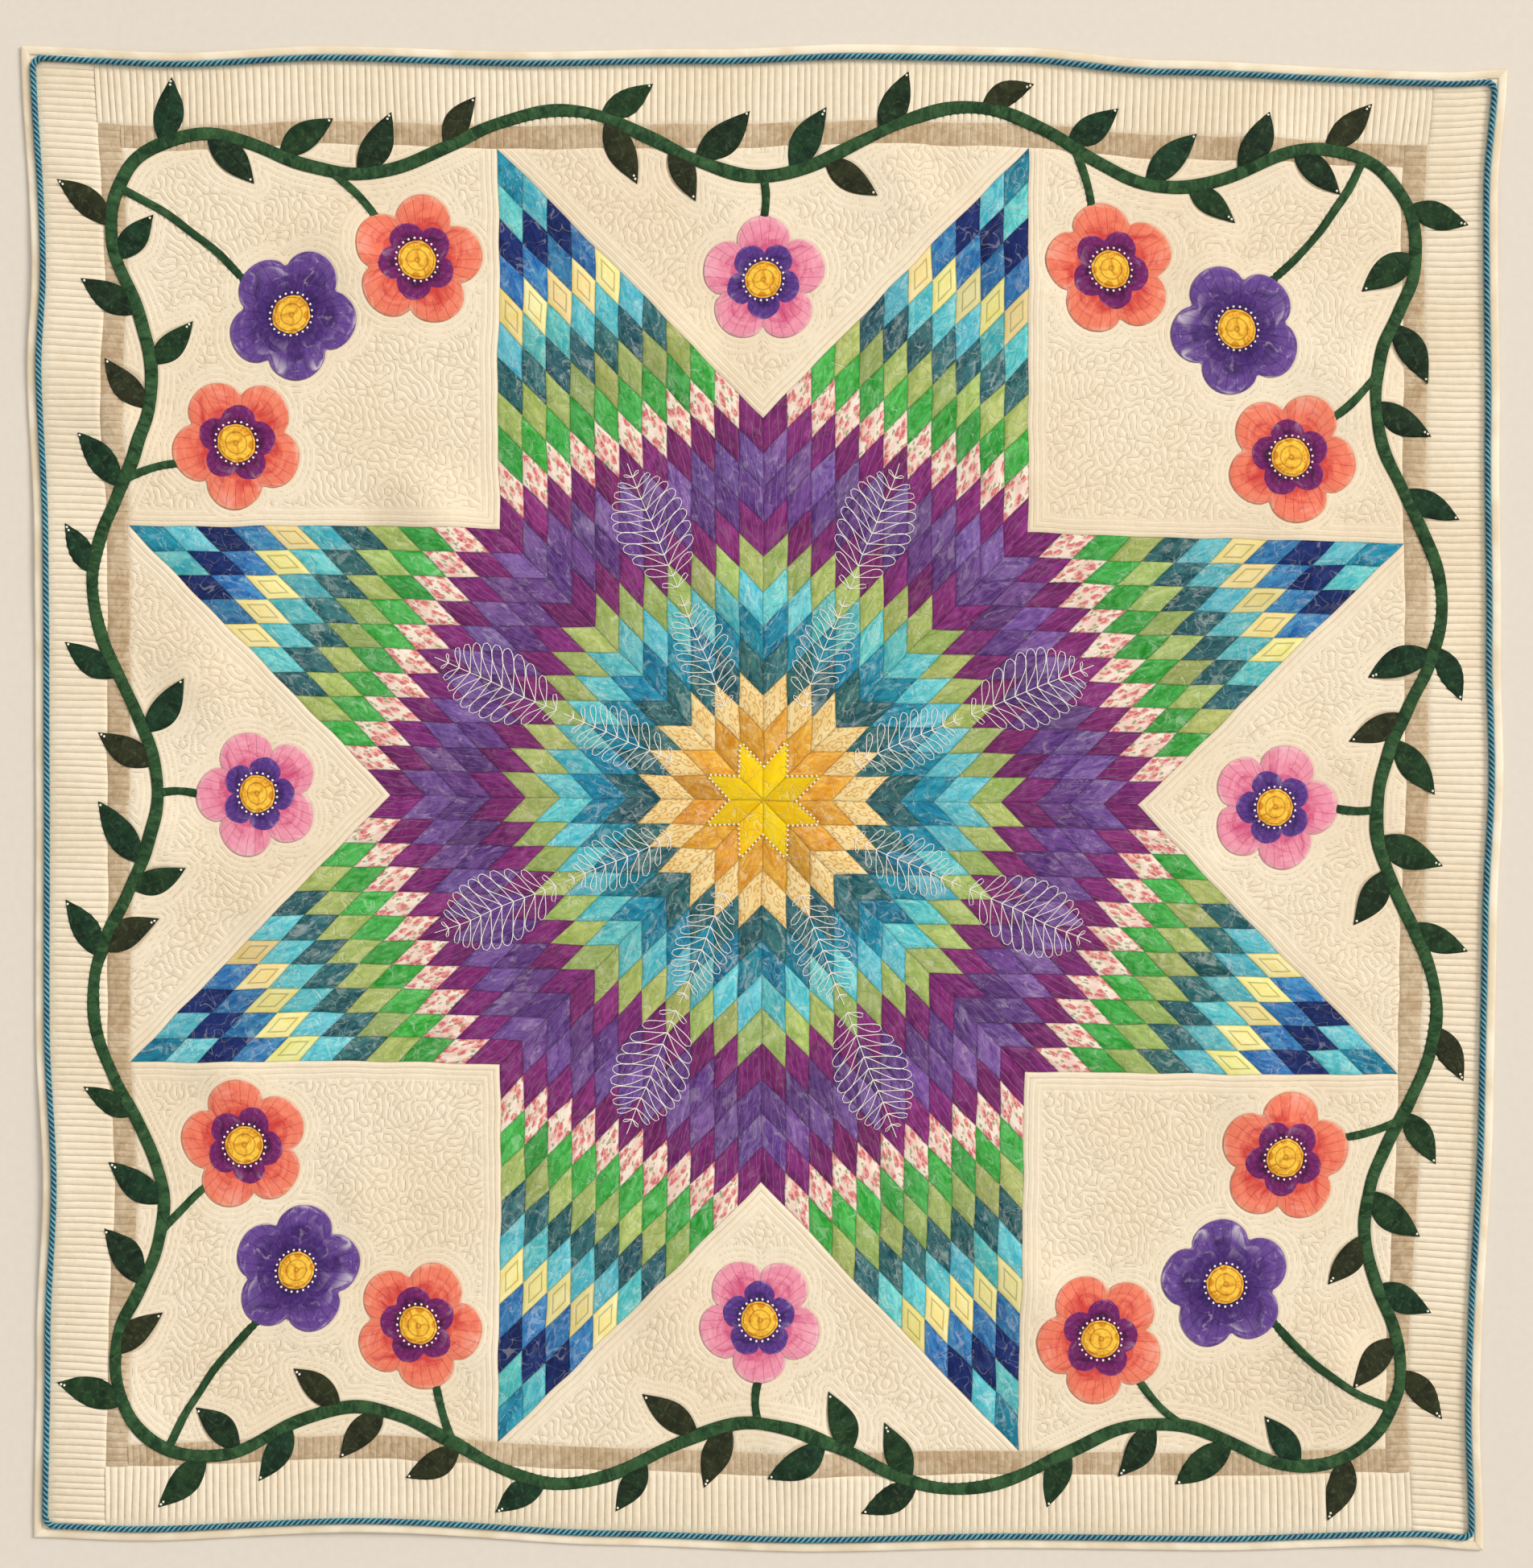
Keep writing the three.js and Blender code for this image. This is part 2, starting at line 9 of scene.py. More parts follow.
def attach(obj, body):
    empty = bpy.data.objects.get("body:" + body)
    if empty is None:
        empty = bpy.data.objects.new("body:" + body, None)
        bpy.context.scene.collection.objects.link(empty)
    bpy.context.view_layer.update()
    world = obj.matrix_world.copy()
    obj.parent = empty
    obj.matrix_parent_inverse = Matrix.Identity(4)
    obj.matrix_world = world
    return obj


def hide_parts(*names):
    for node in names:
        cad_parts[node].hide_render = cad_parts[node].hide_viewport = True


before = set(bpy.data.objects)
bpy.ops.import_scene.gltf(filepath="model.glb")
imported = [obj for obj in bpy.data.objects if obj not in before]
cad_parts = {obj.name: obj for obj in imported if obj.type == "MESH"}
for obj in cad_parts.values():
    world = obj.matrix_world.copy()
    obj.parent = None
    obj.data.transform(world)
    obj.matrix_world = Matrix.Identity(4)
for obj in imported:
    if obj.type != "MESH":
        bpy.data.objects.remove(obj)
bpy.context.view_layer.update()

# The quilt is drawn flat on a perfect square, in millimetres, with the sizes of the part's own source,
# and lay() carries each finished piece to the uneven outline that the quilt really has.
MM = 0.001
HALF = 1072  # half the side of the drawn square
FIELD_HALF = 932  # half the side of the pieced field, which the star's points touch
STRIP_HALF = 965  # outer edge of the tan strip round the field
DIAMONDS = 11  # small diamonds along one edge of a star point
STAR_POINTS = 8
SEAM_TOP = 2.6  # height of a seam over the quilt's underside
PUFF_TOP = 5.0  # height of a puff
EDGE_TOP = 3.6  # height beside the binding
BORDER_FOOT = 25  # where the border flattens, in from the edge
RIPPLE_REACH = 62  # where a ripple of the edge dies away, in from the edge
STATIONS = 20  # steps along each side by which the outline's middle is found
SIDES = ("north", "west", "south", "east")
PHOTO = (1904, 1948)  # width and height of the photograph, in pixels
PIXEL = 1.17  # width of a pixel at the quilt, in millimetres

CORNERS = {"nw": (-1079, 1093), "ne": (1079, 1058), "se": (1044, -1092), "sw": (-1060, -1073)}
# Bow of each edge out of the line between its corners: (way along from the west or the north, bow)
EDGE_BOW = {
    "north": (
        (0, 0), (0.1, -8), (0.21, 7), (0.33, 3), (0.46, 11), (0.57, 22), (0.67, 21), (0.77, 5), (0.96, -5),
        (1, 0),
    ),
    "east": (
        (0, 0), (0.085, -12), (0.24, -3), (0.39, 4), (0.48, 11), (0.57, 5), (0.7, 4), (0.9, -10), (1, 0),
    ),
    "south": ((0, 0), (0.07, 4), (0.23, -13), (0.4, 4), (0.53, 11), (0.68, 3), (0.81, 4), (0.95, -7), (1, 0)),
    "west": (
        (0, 0), (0.15, -14), (0.22, -5), (0.33, -14), (0.49, -12), (0.66, -9), (0.76, -19), (0.87, -6),
        (1, 0),
    ),
}
BOW_FADE = 3  # power by which a bow dies away towards the far edge
# Low ripples of the edge: side, way along it, rise, half length
RIPPLES = (
    ("north", 0.1, 4, 190), ("north", 0.8, 3, 170), ("east", 0.1, 4, 200), ("east", 0.9, 4, 190),
    ("south", 0.23, 5, 230), ("south", 0.93, 3, 140), ("west", 0.16, 4, 180), ("west", 0.34, 3, 170),
    ("west", 0.76, 5, 220),
)
# Waves whose sum says how the laid cloth swells and how its seams stray: length, direction in degrees, start
SWELL_WAVES = ((430, 20, 0.4), (290, 75, 1.9), (350, 130, 3.1), (240, 160, 5.0), (205, 48, 2.2))
STRAY_WAVES = {
    "east": ((97, 15, 0.8), (71, 62, 2.5), (140, 104, 4.1)),
    "north": ((83, 151, 1.2), (118, 33, 3.6), (64, 95, 0.3)),
}
SWELL, STRAY = 0.65, 0.5  # height of a swell and reach of a stray for a wave of 1
STILL = (40, 130)  # in from the edge, where these begin and where they are whole


def eased(table, at):
    """A table's value between the rows on either side, without corners."""
    ways, values = np.array(table, float).T
    at = np.clip(at, 0, 1)
    after = np.clip(np.searchsorted(ways, at), 1, len(ways) - 1)
    share = (at - ways[after - 1]) / (ways[after] - ways[after - 1])
    return values[after - 1] + (values[after] - values[after - 1]) * share * share * (3 - 2 * share)


def edges_of(x, y):
    """Distance in from each edge of the drawn square, and the way along it."""
    across, down = (x + HALF) / (2 * HALF), (HALF - y) / (2 * HALF)
    return {
        "north": (HALF - y, across), "east": (HALF - x, down),
        "south": (HALF + y, across), "west": (HALF + x, down),
    }


def lift(x, y):
    """Height of the edge's ripples."""
    edges = edges_of(x, y)
    rise = np.zeros_like(x)
    for side, at, height, spread in RIPPLES:
        inward, along = edges[side]
        off = np.clip((along - at) * 2 * HALF / spread, -1, 1)
        fall = (RIPPLE_REACH - np.clip(inward, BORDER_FOOT, RIPPLE_REACH)) / (RIPPLE_REACH - BORDER_FOOT)
        rise += height * (1 - off**2) ** 2 * fall
    return rise


def waves(table, x, y):
    """Sum of a table's waves."""
    total = np.zeros_like(x)
    for length, direction, start in table:
        way = math.radians(direction)
        total += np.sin(2 * math.pi * (x * math.cos(way) + y * math.sin(way)) / length + start)
    return total


def loosened(x, y):
    """Share of the swells and strays that reaches a point: none at the edge, all in the middle."""
    inward = HALF - np.maximum(np.abs(x), np.abs(y))
    share = np.clip((inward - STILL[0]) / (STILL[1] - STILL[0]), 0, 1)
    return share * share * (3 - 2 * share)


def warp(x, y):
    """Points of the drawn square on the uneven outline, before it is centred."""
    across, up = (x + HALF) / (2 * HALF), (y + HALF) / (2 * HALF)
    bow = {side: eased(EDGE_BOW[side], along) for side, (_, along) in edges_of(x, y).items()}
    ends = {
        "nw": (1 - across) * up, "ne": across * up,
        "se": across * (1 - up), "sw": (1 - across) * (1 - up),
    }
    east, north = (sum(share * CORNERS[corner][axis] for corner, share in ends.items()) for axis in (0, 1))
    east = east + bow["east"] * across**BOW_FADE - bow["west"] * (1 - across) ** BOW_FADE
    north = north + bow["north"] * up**BOW_FADE - bow["south"] * (1 - up) ** BOW_FADE
    return east, north


rim = np.linspace(-HALF, HALF, STATIONS + 1)
full = np.full_like(rim, HALF)
outline = warp(np.concatenate((rim, full, rim, -full)), np.concatenate((full, rim, -full, rim)))
MIDDLE = [(values.min() + values.max()) / 2 for values in outline]


def lay(spots):
    """Drawn points, as rows of x, y and height in millimetres, where they really lie, in metres."""
    x, y, height = spots.T
    loose = loosened(x, y)
    swell = SWELL * loose * np.maximum(waves(SWELL_WAVES, x, y), 0) ** 2
    aside, ahead = (STRAY * loose * waves(STRAY_WAVES[way], x, y) for way in ("east", "north"))
    east, north = warp(x + aside, y + ahead)
    return np.column_stack((east - MIDDLE[0], north - MIDDLE[1], height + lift(x, y) + swell)) * MM


class Drawing:
    """One piece's mesh, drawn on the square from grids of cloth, with the cloth's own grain as a UV map."""

    def __init__(self, dyed=False):
        self.bm = bmesh.new()
        self.cloth = self.bm.loops.layers.uv.new("cloth")  # metres along and across the cloth
        self.place = self.bm.loops.layers.uv.new("place")  # 0 to 1 across and along the shape
        names = ("deep", "light") if dyed else ()
        self.dyes = [self.bm.loops.layers.float_color.new(name) for name in names]

    def add(self, across, along, shape, cut=None, place=None, finish=0, dyes=(), half=False):
        """A grid whose points shape() moves from the unit square, or from the half of it below its diagonal.

        cut() says where they lie on the bolt of cloth, and place() where they lie across and along the shape.
        """
        verts = bmesh.ops.create_grid(self.bm, x_segments=across, y_segments=along, size=0.5)["verts"]
        if half:
            parts = list({part for vert in verts for part in (vert, *vert.link_edges, *vert.link_faces)})
            kept = bmesh.ops.bisect_plane(
                self.bm, geom=parts, dist=1e-6, plane_co=(0, 0, 0), plane_no=(1, 1, 0), clear_outer=True)
            verts = [part for part in kept["geom"] if isinstance(part, bmesh.types.BMVert)]
        unit = np.array([vert.co[:2] for vert in verts]) + 0.5
        spots = shape(*unit.T)
        grain = (spots[:, :2] * MM if cut is None else cut(*unit.T)).tolist()
        unit = (unit if place is None else place(*unit.T)).tolist()
        number = {vert: i for i, vert in enumerate(verts)}
        for vert, spot in zip(verts, spots.tolist()):
            vert.co = spot
        for face in {face for vert in verts for face in vert.link_faces}:
            face.material_index = finish
            face.smooth = True
            for corner in face.loops:
                i = number[corner.vert]
                corner[self.cloth].uv = grain[i]
                corner[self.place].uv = unit[i]
                for layer, dye in zip(self.dyes, dyes):
                    corner[layer] = dye

    def ball(self, x, y, height, radius):
        """A small bead."""

        def shape(u, v):
            turn, tilt = 2 * math.pi * u, math.pi * (v - 0.5)
            wide, up = radius * np.cos(tilt), radius * 0.9 * np.sin(tilt)
            return rows(x + wide * np.cos(turn), y + wide * np.sin(turn), height + up)

        self.add(7, 4, shape)

    def sew(self, name, finishes, replaces=(), weld=None, outward=False):
        """Lays the drawing down as one piece of the quilt."""
        if weld:
            bmesh.ops.remove_doubles(self.bm, verts=self.bm.verts, dist=weld)
        if outward:
            bmesh.ops.recalc_face_normals(self.bm, faces=self.bm.faces)
        mesh = bpy.data.meshes.new(name)
        self.bm.to_mesh(mesh)
        self.bm.free()
        spots = np.empty(3 * len(mesh.vertices))
        mesh.vertices.foreach_get("co", spots)
        mesh.vertices.foreach_set("co", lay(spots.reshape(-1, 3)).ravel())
        mesh.update()
        for finish in finishes:
            mesh.materials.append(finish.material)
        piece = bpy.data.objects.new(name, mesh)
        bpy.context.scene.collection.objects.link(piece)
        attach(piece, "root")
        if replaces:
            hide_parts(*replaces)
        return piece


def rows(x, y, z):
    """Points as rows of x, y and z."""
    return np.column_stack(np.broadcast_arrays(x, y, z)).astype(float)


def on_side(spots, side):
    """Points drawn on the north side, turned onto another."""
    turn = side * math.pi / 2
    x, y = spots[:, 0].copy(), spots[:, 1].copy()
    turned = spots.copy()
    turned[:, 0] = x * math.cos(turn) - y * math.sin(turn)
    turned[:, 1] = x * math.sin(turn) + y * math.cos(turn)
    return turned


# Shader maths


def rgb(red, green, blue):
    """A colour as it looks, from 0 to 255, as the shader's own."""
    return tuple(c / 12.92 if c <= 0.04045 else ((c + 0.055) / 1.055) ** 2.4
                 for c in (red / 255, green / 255, blue / 255)) + (1,)


class Value:
    """A shader's value, on which Python's operators add Math nodes."""

    def __init__(self, finish, socket):
        self.finish, self.socket = finish, socket

    def math(self, operation, *values):
        return self.finish.add("Math", {"operation": operation}, dict(enumerate(values)))

    def __add__(self, other):
        return self.math("ADD", self, other)

    __radd__ = __add__

    def __sub__(self, other):
        return self.math("SUBTRACT", self, other)

    def __rsub__(self, other):
        return self.math("SUBTRACT", other, self)

    def __mul__(self, other):
        return self.math("MULTIPLY", self, other)

    __rmul__ = __mul__

    def __abs__(self):
        return self.math("ABSOLUTE", self)

    def sin(self):
        return self.math("SINE", self)

    def least(self, other):
        return self.math("MINIMUM", self, other)

    def most(self, other):
        return self.math("MAXIMUM", self, other)

    def band(self, low, high):
        """0 below low, 1 above high, and a soft step between."""
        sockets = {"Value": self, "From Min": low, "From Max": high}
        return self.finish.add("MapRange", {"interpolation_type": "SMOOTHSTEP"}, sockets, "Result")


class Finish:
    """A material of nodes."""

    def __init__(self, name, roughness=0.9, **constants):
        self.material = bpy.data.materials.new(name)
        self.material.use_nodes = True
        self.tree = self.material.node_tree
        self.shader = self.tree.nodes["Principled BSDF"]
        self.shader.inputs["Roughness"].default_value = roughness
        self.shader.inputs["Specular IOR Level"].default_value = 0.25
        for name, value in constants.items():
            self.shader.inputs[name.replace("_", " ").title()].default_value = value

    def feed(self, socket, value):
        if isinstance(value, Value):
            self.tree.links.new(value.socket, socket)
        else:
            socket.default_value = value

    def add(self, kind, settings, sockets, output=0):
        """A node of a kind: its settings first, then what goes into its sockets. Gives one of its outputs."""
        node = self.tree.nodes.new("ShaderNode" + kind)
        for name, value in settings.items():
            setattr(node, name, value)
        for name, value in sockets.items():
            self.feed(node.inputs[name], value)
        return Value(self, node.outputs[output])

    def uv(self, name):
        return self.add("UVMap", {"uv_map": name}, {})

    def parts(self, vector):
        """The two values of a UV."""
        return [self.add("SeparateXYZ", {}, {"Vector": vector}, axis) for axis in ("X", "Y")]

    def colour(self, name):
        return self.add("Attribute", {"attribute_name": name}, {}, "Color")

    def blend(self, share, first, second, way="MIX"):
        settings = {"data_type": "RGBA", "blend_type": way, "clamp_factor": True}
        return self.add("Mix", settings, {0: share, 6: first, 7: second}, 2)

    def noise(self, vector, scale, detail=2.0, rough=0.5, warp=0.0):
        sockets = {"Vector": vector, "Scale": scale, "Detail": detail, "Roughness": rough, "Distortion": warp}
        return self.add("TexNoise", {"noise_dimensions": "2D"}, sockets, 0)

    def cells(self, vector, scale, jitter=1.0, output="Distance"):
        settings = {"voronoi_dimensions": "2D"}
        sockets = {"Vector": vector, "Scale": scale, "Randomness": jitter}
        return self.add("TexVoronoi", settings, sockets, output)

    def curls(self, vector, scale, winds, jitter=0.8):
        """A curl in each cell: how far out of its middle a point lies, and a wave that winds round it."""
        out = self.cells(vector, scale, jitter=jitter)
        middle = self.cells(vector, scale, jitter=jitter, output="Position")
        x, y = self.parts(self.add("VectorMath", {"operation": "SUBTRACT"}, {0: vector, 1: middle}))
        return out, (y.math("ARCTAN2", y, x) + out * (2 * math.pi * winds)).sin()

    def bent(self, vector, scale, reach):
        """Points pushed about, so that no two figures of a print are alike."""
        sockets = {"Vector": vector, "Scale": scale, "Detail": 1.0}
        push = self.add("TexNoise", {"noise_dimensions": "2D"}, sockets, "Color")
        sockets = {0: push, 1: (reach, reach, 0), 2: vector}
        return self.add("VectorMath", {"operation": "MULTIPLY_ADD"}, sockets)

    def weave(self, vector, thread=0.0011):
        """Over and under of plain-woven threads."""
        across, along = self.parts(vector)
        turns = 2 * math.pi / thread
        return (across * turns).sin() * (along * turns).sin()

    def wear(self, base, height=None, distance=0.001):
        """The surface: its colour and its relief."""
        self.feed(self.shader.inputs["Base Color"], base)
        if height is not None:
            normal = self.add("Bump", {}, {"Height": height, "Distance": distance, "Strength": 1.0})
            self.feed(self.shader.inputs["Normal"], normal)
        return self


# Cloths and trimmings

SHADOW = rgb(60, 50, 44)


def stitched(finish):
    """How near a point lies to the lines of stitching, from 1 on a line to 0."""
    stands, _ = finish.parts(finish.uv("place"))
    return 1 - stands.band(0.0, 0.55)


def pucker_relief(finish, grain, low):
    """Weave, and the puckers beside a line of stitching."""
    pucker = finish.noise(grain, 130, 2, 0.5) * (0.35 + 0.9 * low)
    return finish.weave(grain) * 0.1 + finish.noise(grain, 420, 3) * 0.35 + pucker


def cream_cotton(name, tone, shade, seam):
    """Cream cotton with a faint tone-on-tone mottle, puckered beside its lines of stitching, and darkened
    along them towards the colour seam as painted shade.
    """
    finish = Finish(name, 0.92, sheen_weight=0.1)
    grain = finish.uv("cloth")
    drift = finish.noise(grain, 4, 3).band(0.32, 0.7)
    mottle = finish.noise(grain, 70, 4, 0.6).band(0.35, 0.68)
    low = stitched(finish)
    base = finish.blend(drift * 0.5 + mottle * 0.3, tone, shade)
    # painted shade: the lines of stitching, where the grooves lie, darkened towards the colour seam
    base = finish.blend(low * 0.5, base, seam)
    return finish.wear(base, pucker_relief(finish, grain, low), 0.0011)


def tan_cotton(name):
    """Thin tan cotton, streaked along the strip, that lets the cream below it show, and darkened along its
    lines of stitching as painted shade.
    """
    finish = Finish(name, 0.92, sheen_weight=0.1)
    grain = finish.uv("cloth")
    drift = finish.noise(grain, 9, 4, 0.6, 0.5).band(0.3, 0.72)
    streak = finish.noise(grain, 75, 5, 0.7, 0.6).band(0.34, 0.7)
    low = stitched(finish)
    base = finish.blend(drift * 0.45 + streak * 0.5, rgb(176, 150, 116), rgb(220, 203, 176))
    # painted shade along the lines of stitching
    base = finish.blend(low * 0.4, base, rgb(150, 124, 94))
    return finish.wear(base, pucker_relief(finish, grain, low), 0.0011)


def seamed(finish):
    """How near a patch's points lie to its seams, from 1 on a seam to 0, and its way in from them."""
    across, along = finish.parts(finish.uv("place"))
    edge = across.least(1 - across).least(along.least(1 - along))
    return 1 - edge.band(0.0, 0.055), edge


def pieced(finish, base, grain, seam, line=0.0):
    """A patch with painted shade along its seams, with its weave, the puckers at a seam and its quilted line.
    """
    pucker = finish.noise(grain, 120, 2, 0.5) * (0.3 + 0.8 * seam)
    height = finish.weave(grain, 0.0009) * 0.1 + finish.noise(grain, 380, 3) * 0.3 + pucker
    # painted shade: the patch darkened into its seams
    base = finish.blend(seam * 0.4, base, SHADOW, "MULTIPLY")
    return finish.wear(base, height - line * 0.9, 0.0011)


def batik(name, echo=False, rays=0, **constants):
    """Hand-dyed cotton in each patch's own two dyes, quilted over in loops or rays."""
    finish = Finish(name, **constants)
    grain = finish.uv("cloth")
    seam, edge = seamed(finish)
    deep, light = finish.colour("deep"), finish.colour("light")
    figured = finish.add("Attribute", {"attribute_name": "deep"}, {}, "Alpha")
    clouds = finish.noise(grain, 30, 5, 0.68, 0.8).band(0.3, 0.72)
    drops = finish.cells(finish.bent(grain, 60, 0.01), 110).band(0.6, 0.15)
    scrawl = abs(finish.noise(grain, 52, 3, 0.6, 0.9) - 0.5).band(0.05, 0.0)
    marks = finish.noise(grain, 40, 5, 0.72, 1.0).band(0.5, 0.76)
    pale = finish.blend(0.45, light, rgb(255, 255, 250))
    base = finish.blend(clouds * 0.75 + drops * 0.25, deep, light)
    base = finish.blend((marks * 0.8).most(scrawl * marks.band(0.0, 0.3)) * figured, base, pale)
    where = finish.add("TexCoord", {}, {}, "Object")
    if echo:
        line = 1 - abs(edge - 0.24).band(0.0, 0.05)
        # painted shade along the echoed quilting line
        base = finish.blend(line * 0.4, base, SHADOW, "MULTIPLY")
    elif rays:
        x, y = finish.parts(where)
        turn = x.math("ARCTAN2", y, x)
        line = abs((turn * rays + finish.noise(where, 14, 2) * 5).sin()).band(0.24, 0.06)
        base = finish.blend(line * 0.22, base, pale)
    else:
        line = abs(finish.noise(where, 46, 1, 0.4, 0.5) - 0.5).band(0.026, 0.006)
        base = finish.blend(line * 0.3, base, pale)
    return pieced(finish, base, grain, seam, line)


def scroll_print(name):
    """Pale gold cotton printed all over with small curls."""
    finish = Finish(name, 0.88)
    grain = finish.uv("cloth")
    seam, _ = seamed(finish)
    out, curl = finish.curls(finish.bent(grain, 70, 0.005), 66, 1.9)
    line = curl.band(0.1, 0.7) * out.band(0.66, 0.5)
    drift = finish.noise(grain, 28, 3).band(0.35, 0.7)
    base = finish.blend(drift * 0.6, rgb(248, 228, 172), rgb(240, 202, 122))
    base = finish.blend(line * 0.7, base, rgb(210, 148, 56))
    return pieced(finish, base, grain, seam)


def rose_print(name):
    """Blush cotton printed with little roses and leaves."""
    finish = Finish(name, 0.88)
    grain = finish.uv("cloth")
    seam, _ = seamed(finish)
    out, petals = finish.curls(finish.bent(grain, 110, 0.009), 58, 1.3, 0.95)
    sockets = {0: finish.bent(grain, 120, 0.008), 1: (0.37, 0.11, 0)}
    aside = finish.add("VectorMath", {"operation": "ADD"}, sockets)
    leaf = finish.cells(aside, 78)
    twig = abs(finish.noise(grain, 80, 2, 0.5, 1.0) - 0.5).band(0.03, 0.0)
    base = finish.blend(finish.noise(grain, 34, 3).band(0.4, 0.65), rgb(252, 240, 226), rgb(246, 214, 204))
    base = finish.blend(twig * 0.4, base, rgb(176, 158, 116))
    base = finish.blend(leaf.band(0.26, 0.14) * 0.85, base, rgb(146, 160, 108))
    rose = finish.blend(petals.band(-0.7, 0.7), rgb(242, 176, 170), rgb(216, 106, 112))
    base = finish.blend(out.band(0.42, 0.28) * 0.9, base, rose)
    base = finish.blend(out.band(0.13, 0.05) * 0.7, base, rgb(186, 60, 74))
    return pieced(finish, base, grain, seam)


def leaf_cotton(name):
    """Green cotton in two dyes, flecked all over, with painted shade along its turned edges and a faint
    stitched rib.
    """
    finish = Finish(name, 0.85)
    grain = finish.uv("cloth")
    across, _ = finish.parts(finish.uv("place"))
    side = abs(across - 0.5) * 2
    deep, light = finish.colour("deep"), finish.colour("light")
    clouds = finish.noise(grain, 50, 4, 0.65).band(0.3, 0.7)
    flecks = finish.noise(grain, 150, 4, 0.66, 0.5).band(0.5, 0.74)
    base = finish.blend(clouds, deep, light)
    base = finish.blend(flecks * 0.4, base, finish.blend(0.3, light, rgb(130, 160, 120)))
    rib = 1 - side.band(0.01, 0.06)
    base = finish.blend(rib * 0.12, base, rgb(84, 108, 76))
    # painted shade along the turned edges
    base = finish.blend(side.band(0.84, 0.97) * 0.45, base, SHADOW, "MULTIPLY")
    height = finish.weave(grain, 0.0009) * 0.1 + finish.noise(grain, 160, 4, 0.6) * 0.9 - rib * 0.3
    return finish.wear(base, height, 0.0009)


def stem_cotton(name):
    """Mid-green bias strip with its turned edges, darkened towards them as painted shade."""
    finish = Finish(name, 0.85)
    grain = finish.uv("cloth")
    across, _ = finish.parts(finish.uv("place"))
    side = abs(across - 0.5) * 2
    clouds = finish.noise(grain, 60, 5, 0.7, 0.6).band(0.32, 0.68)
    flecks = finish.noise(grain, 170, 3, 0.6, 0.5).band(0.5, 0.74)
    base = finish.blend(clouds, rgb(20, 52, 28), rgb(50, 88, 52))
    base = finish.blend(flecks * 0.3, base, rgb(92, 122, 84))
    # painted shade along the turned edges
    base = finish.blend(side.band(0.72, 0.95) * 0.45, base, rgb(14, 34, 20))
    height = finish.weave(grain, 0.0011) * 0.1 + finish.noise(grain, 150, 4, 0.6)
    return finish.wear(base, height, 0.0009)


def petal_cotton(name, heart, middle, rim_tone, roughness=0.8, flares_and_highlights=0.3):
    """Petals graded in colour from the heart of the flower to the rim, with pale flares that are partly marks
    of the cloth and partly painted highlight, and soft stitched veins.
    """
    finish = Finish(name, roughness)
    grain = finish.uv("cloth")
    turn, out = finish.parts(finish.uv("place"))
    clouds = finish.noise(grain, 40, 5, 0.68, 0.8)
    reach = out + (clouds - 0.5) * 0.9
    # darker towards the heart of the flower, lighter towards the rim
    base = finish.blend(reach.band(0.25, 0.6), heart, middle)
    base = finish.blend(reach.band(0.65, 1.0), base, rim_tone)
    # pale flares: marks of the cloth, and painted highlight as well on the satin petals
    flare_and_highlight = finish.noise(grain, 27, 2, 0.5, 0.5).band(0.52, 0.74) * out.band(0.4, 0.75)
    flare_and_highlight = flare_and_highlight.most(finish.noise(grain, 85, 4, 0.66, 0.6).band(0.56, 0.8) * 0.5)
    base = finish.blend(flare_and_highlight * flares_and_highlights, base, finish.blend(0.6, rim_tone, rgb(255, 250, 250)))
    vein = abs((turn * 2 * math.pi * 17.5 + clouds * 1.2).sin()).band(0.3, 0.0) * out.band(0.2, 0.5)
    base = finish.blend(vein * out.band(1.0, 0.8) * 0.15, base, heart)
    turned = 1 - abs(out - 0.9).band(0.004, 0.014)
    base = finish.blend(turned * 0.3, base, heart)
    height = finish.weave(grain, 0.0009) * 0.1 + finish.noise(grain, 120, 4) * 0.9 - vein * 0.8 - turned * 0.5
    return finish.wear(base, height, 0.001)


def gold_cotton(name):
    """Gold batik of the flower centres, quilted in rings."""
    finish = Finish(name, 0.8)
    grain = finish.uv("cloth")
    _, out = finish.parts(finish.uv("place"))
    clouds = finish.noise(grain, 90, 4, 0.6, 1.0).band(0.35, 0.65)
    base = finish.blend(clouds, rgb(206, 134, 24), rgb(246, 200, 70))
    ring = (out * 22).sin().band(0.75, 0.95)
    base = finish.blend(ring * 0.45, base, rgb(140, 82, 20))
    return finish.wear(base, finish.noise(grain, 220, 3) * 0.5 - ring * 0.7, 0.0009)


def twisted_cord(name, strands, turns):
    """Turquoise cord of twisted strands, with painted shade where they meet and a painted highlight along
    each strand's ridge.
    """
    finish = Finish(name, 0.55, sheen_weight=0.2)
    grain = finish.uv("cloth")
    around, along = finish.parts(finish.uv("place"))
    twist = (around - along * turns) * (math.pi * strands)
    ridge = abs((twist + math.pi / 2).sin())
    fibre = (twist * 7 + around * 40).sin()
    drift = finish.noise(grain, 30, 3).band(0.35, 0.65)
    base = finish.blend(drift, rgb(28, 120, 154), rgb(72, 166, 190))
    base = finish.blend(fibre.band(-0.2, 1.0) * 0.25, base, rgb(126, 196, 210))
    # painted highlight along each strand's ridge
    base = finish.blend(ridge.band(0.82, 1.0) * 0.4, base, rgb(140, 206, 218))
    # painted shade where the strands meet
    base = finish.blend(1 - ridge.band(0.3, 0.84), base, rgb(6, 36, 56))
    return finish.wear(base, fibre * 0.3 + ridge * 0.6, 0.0006)


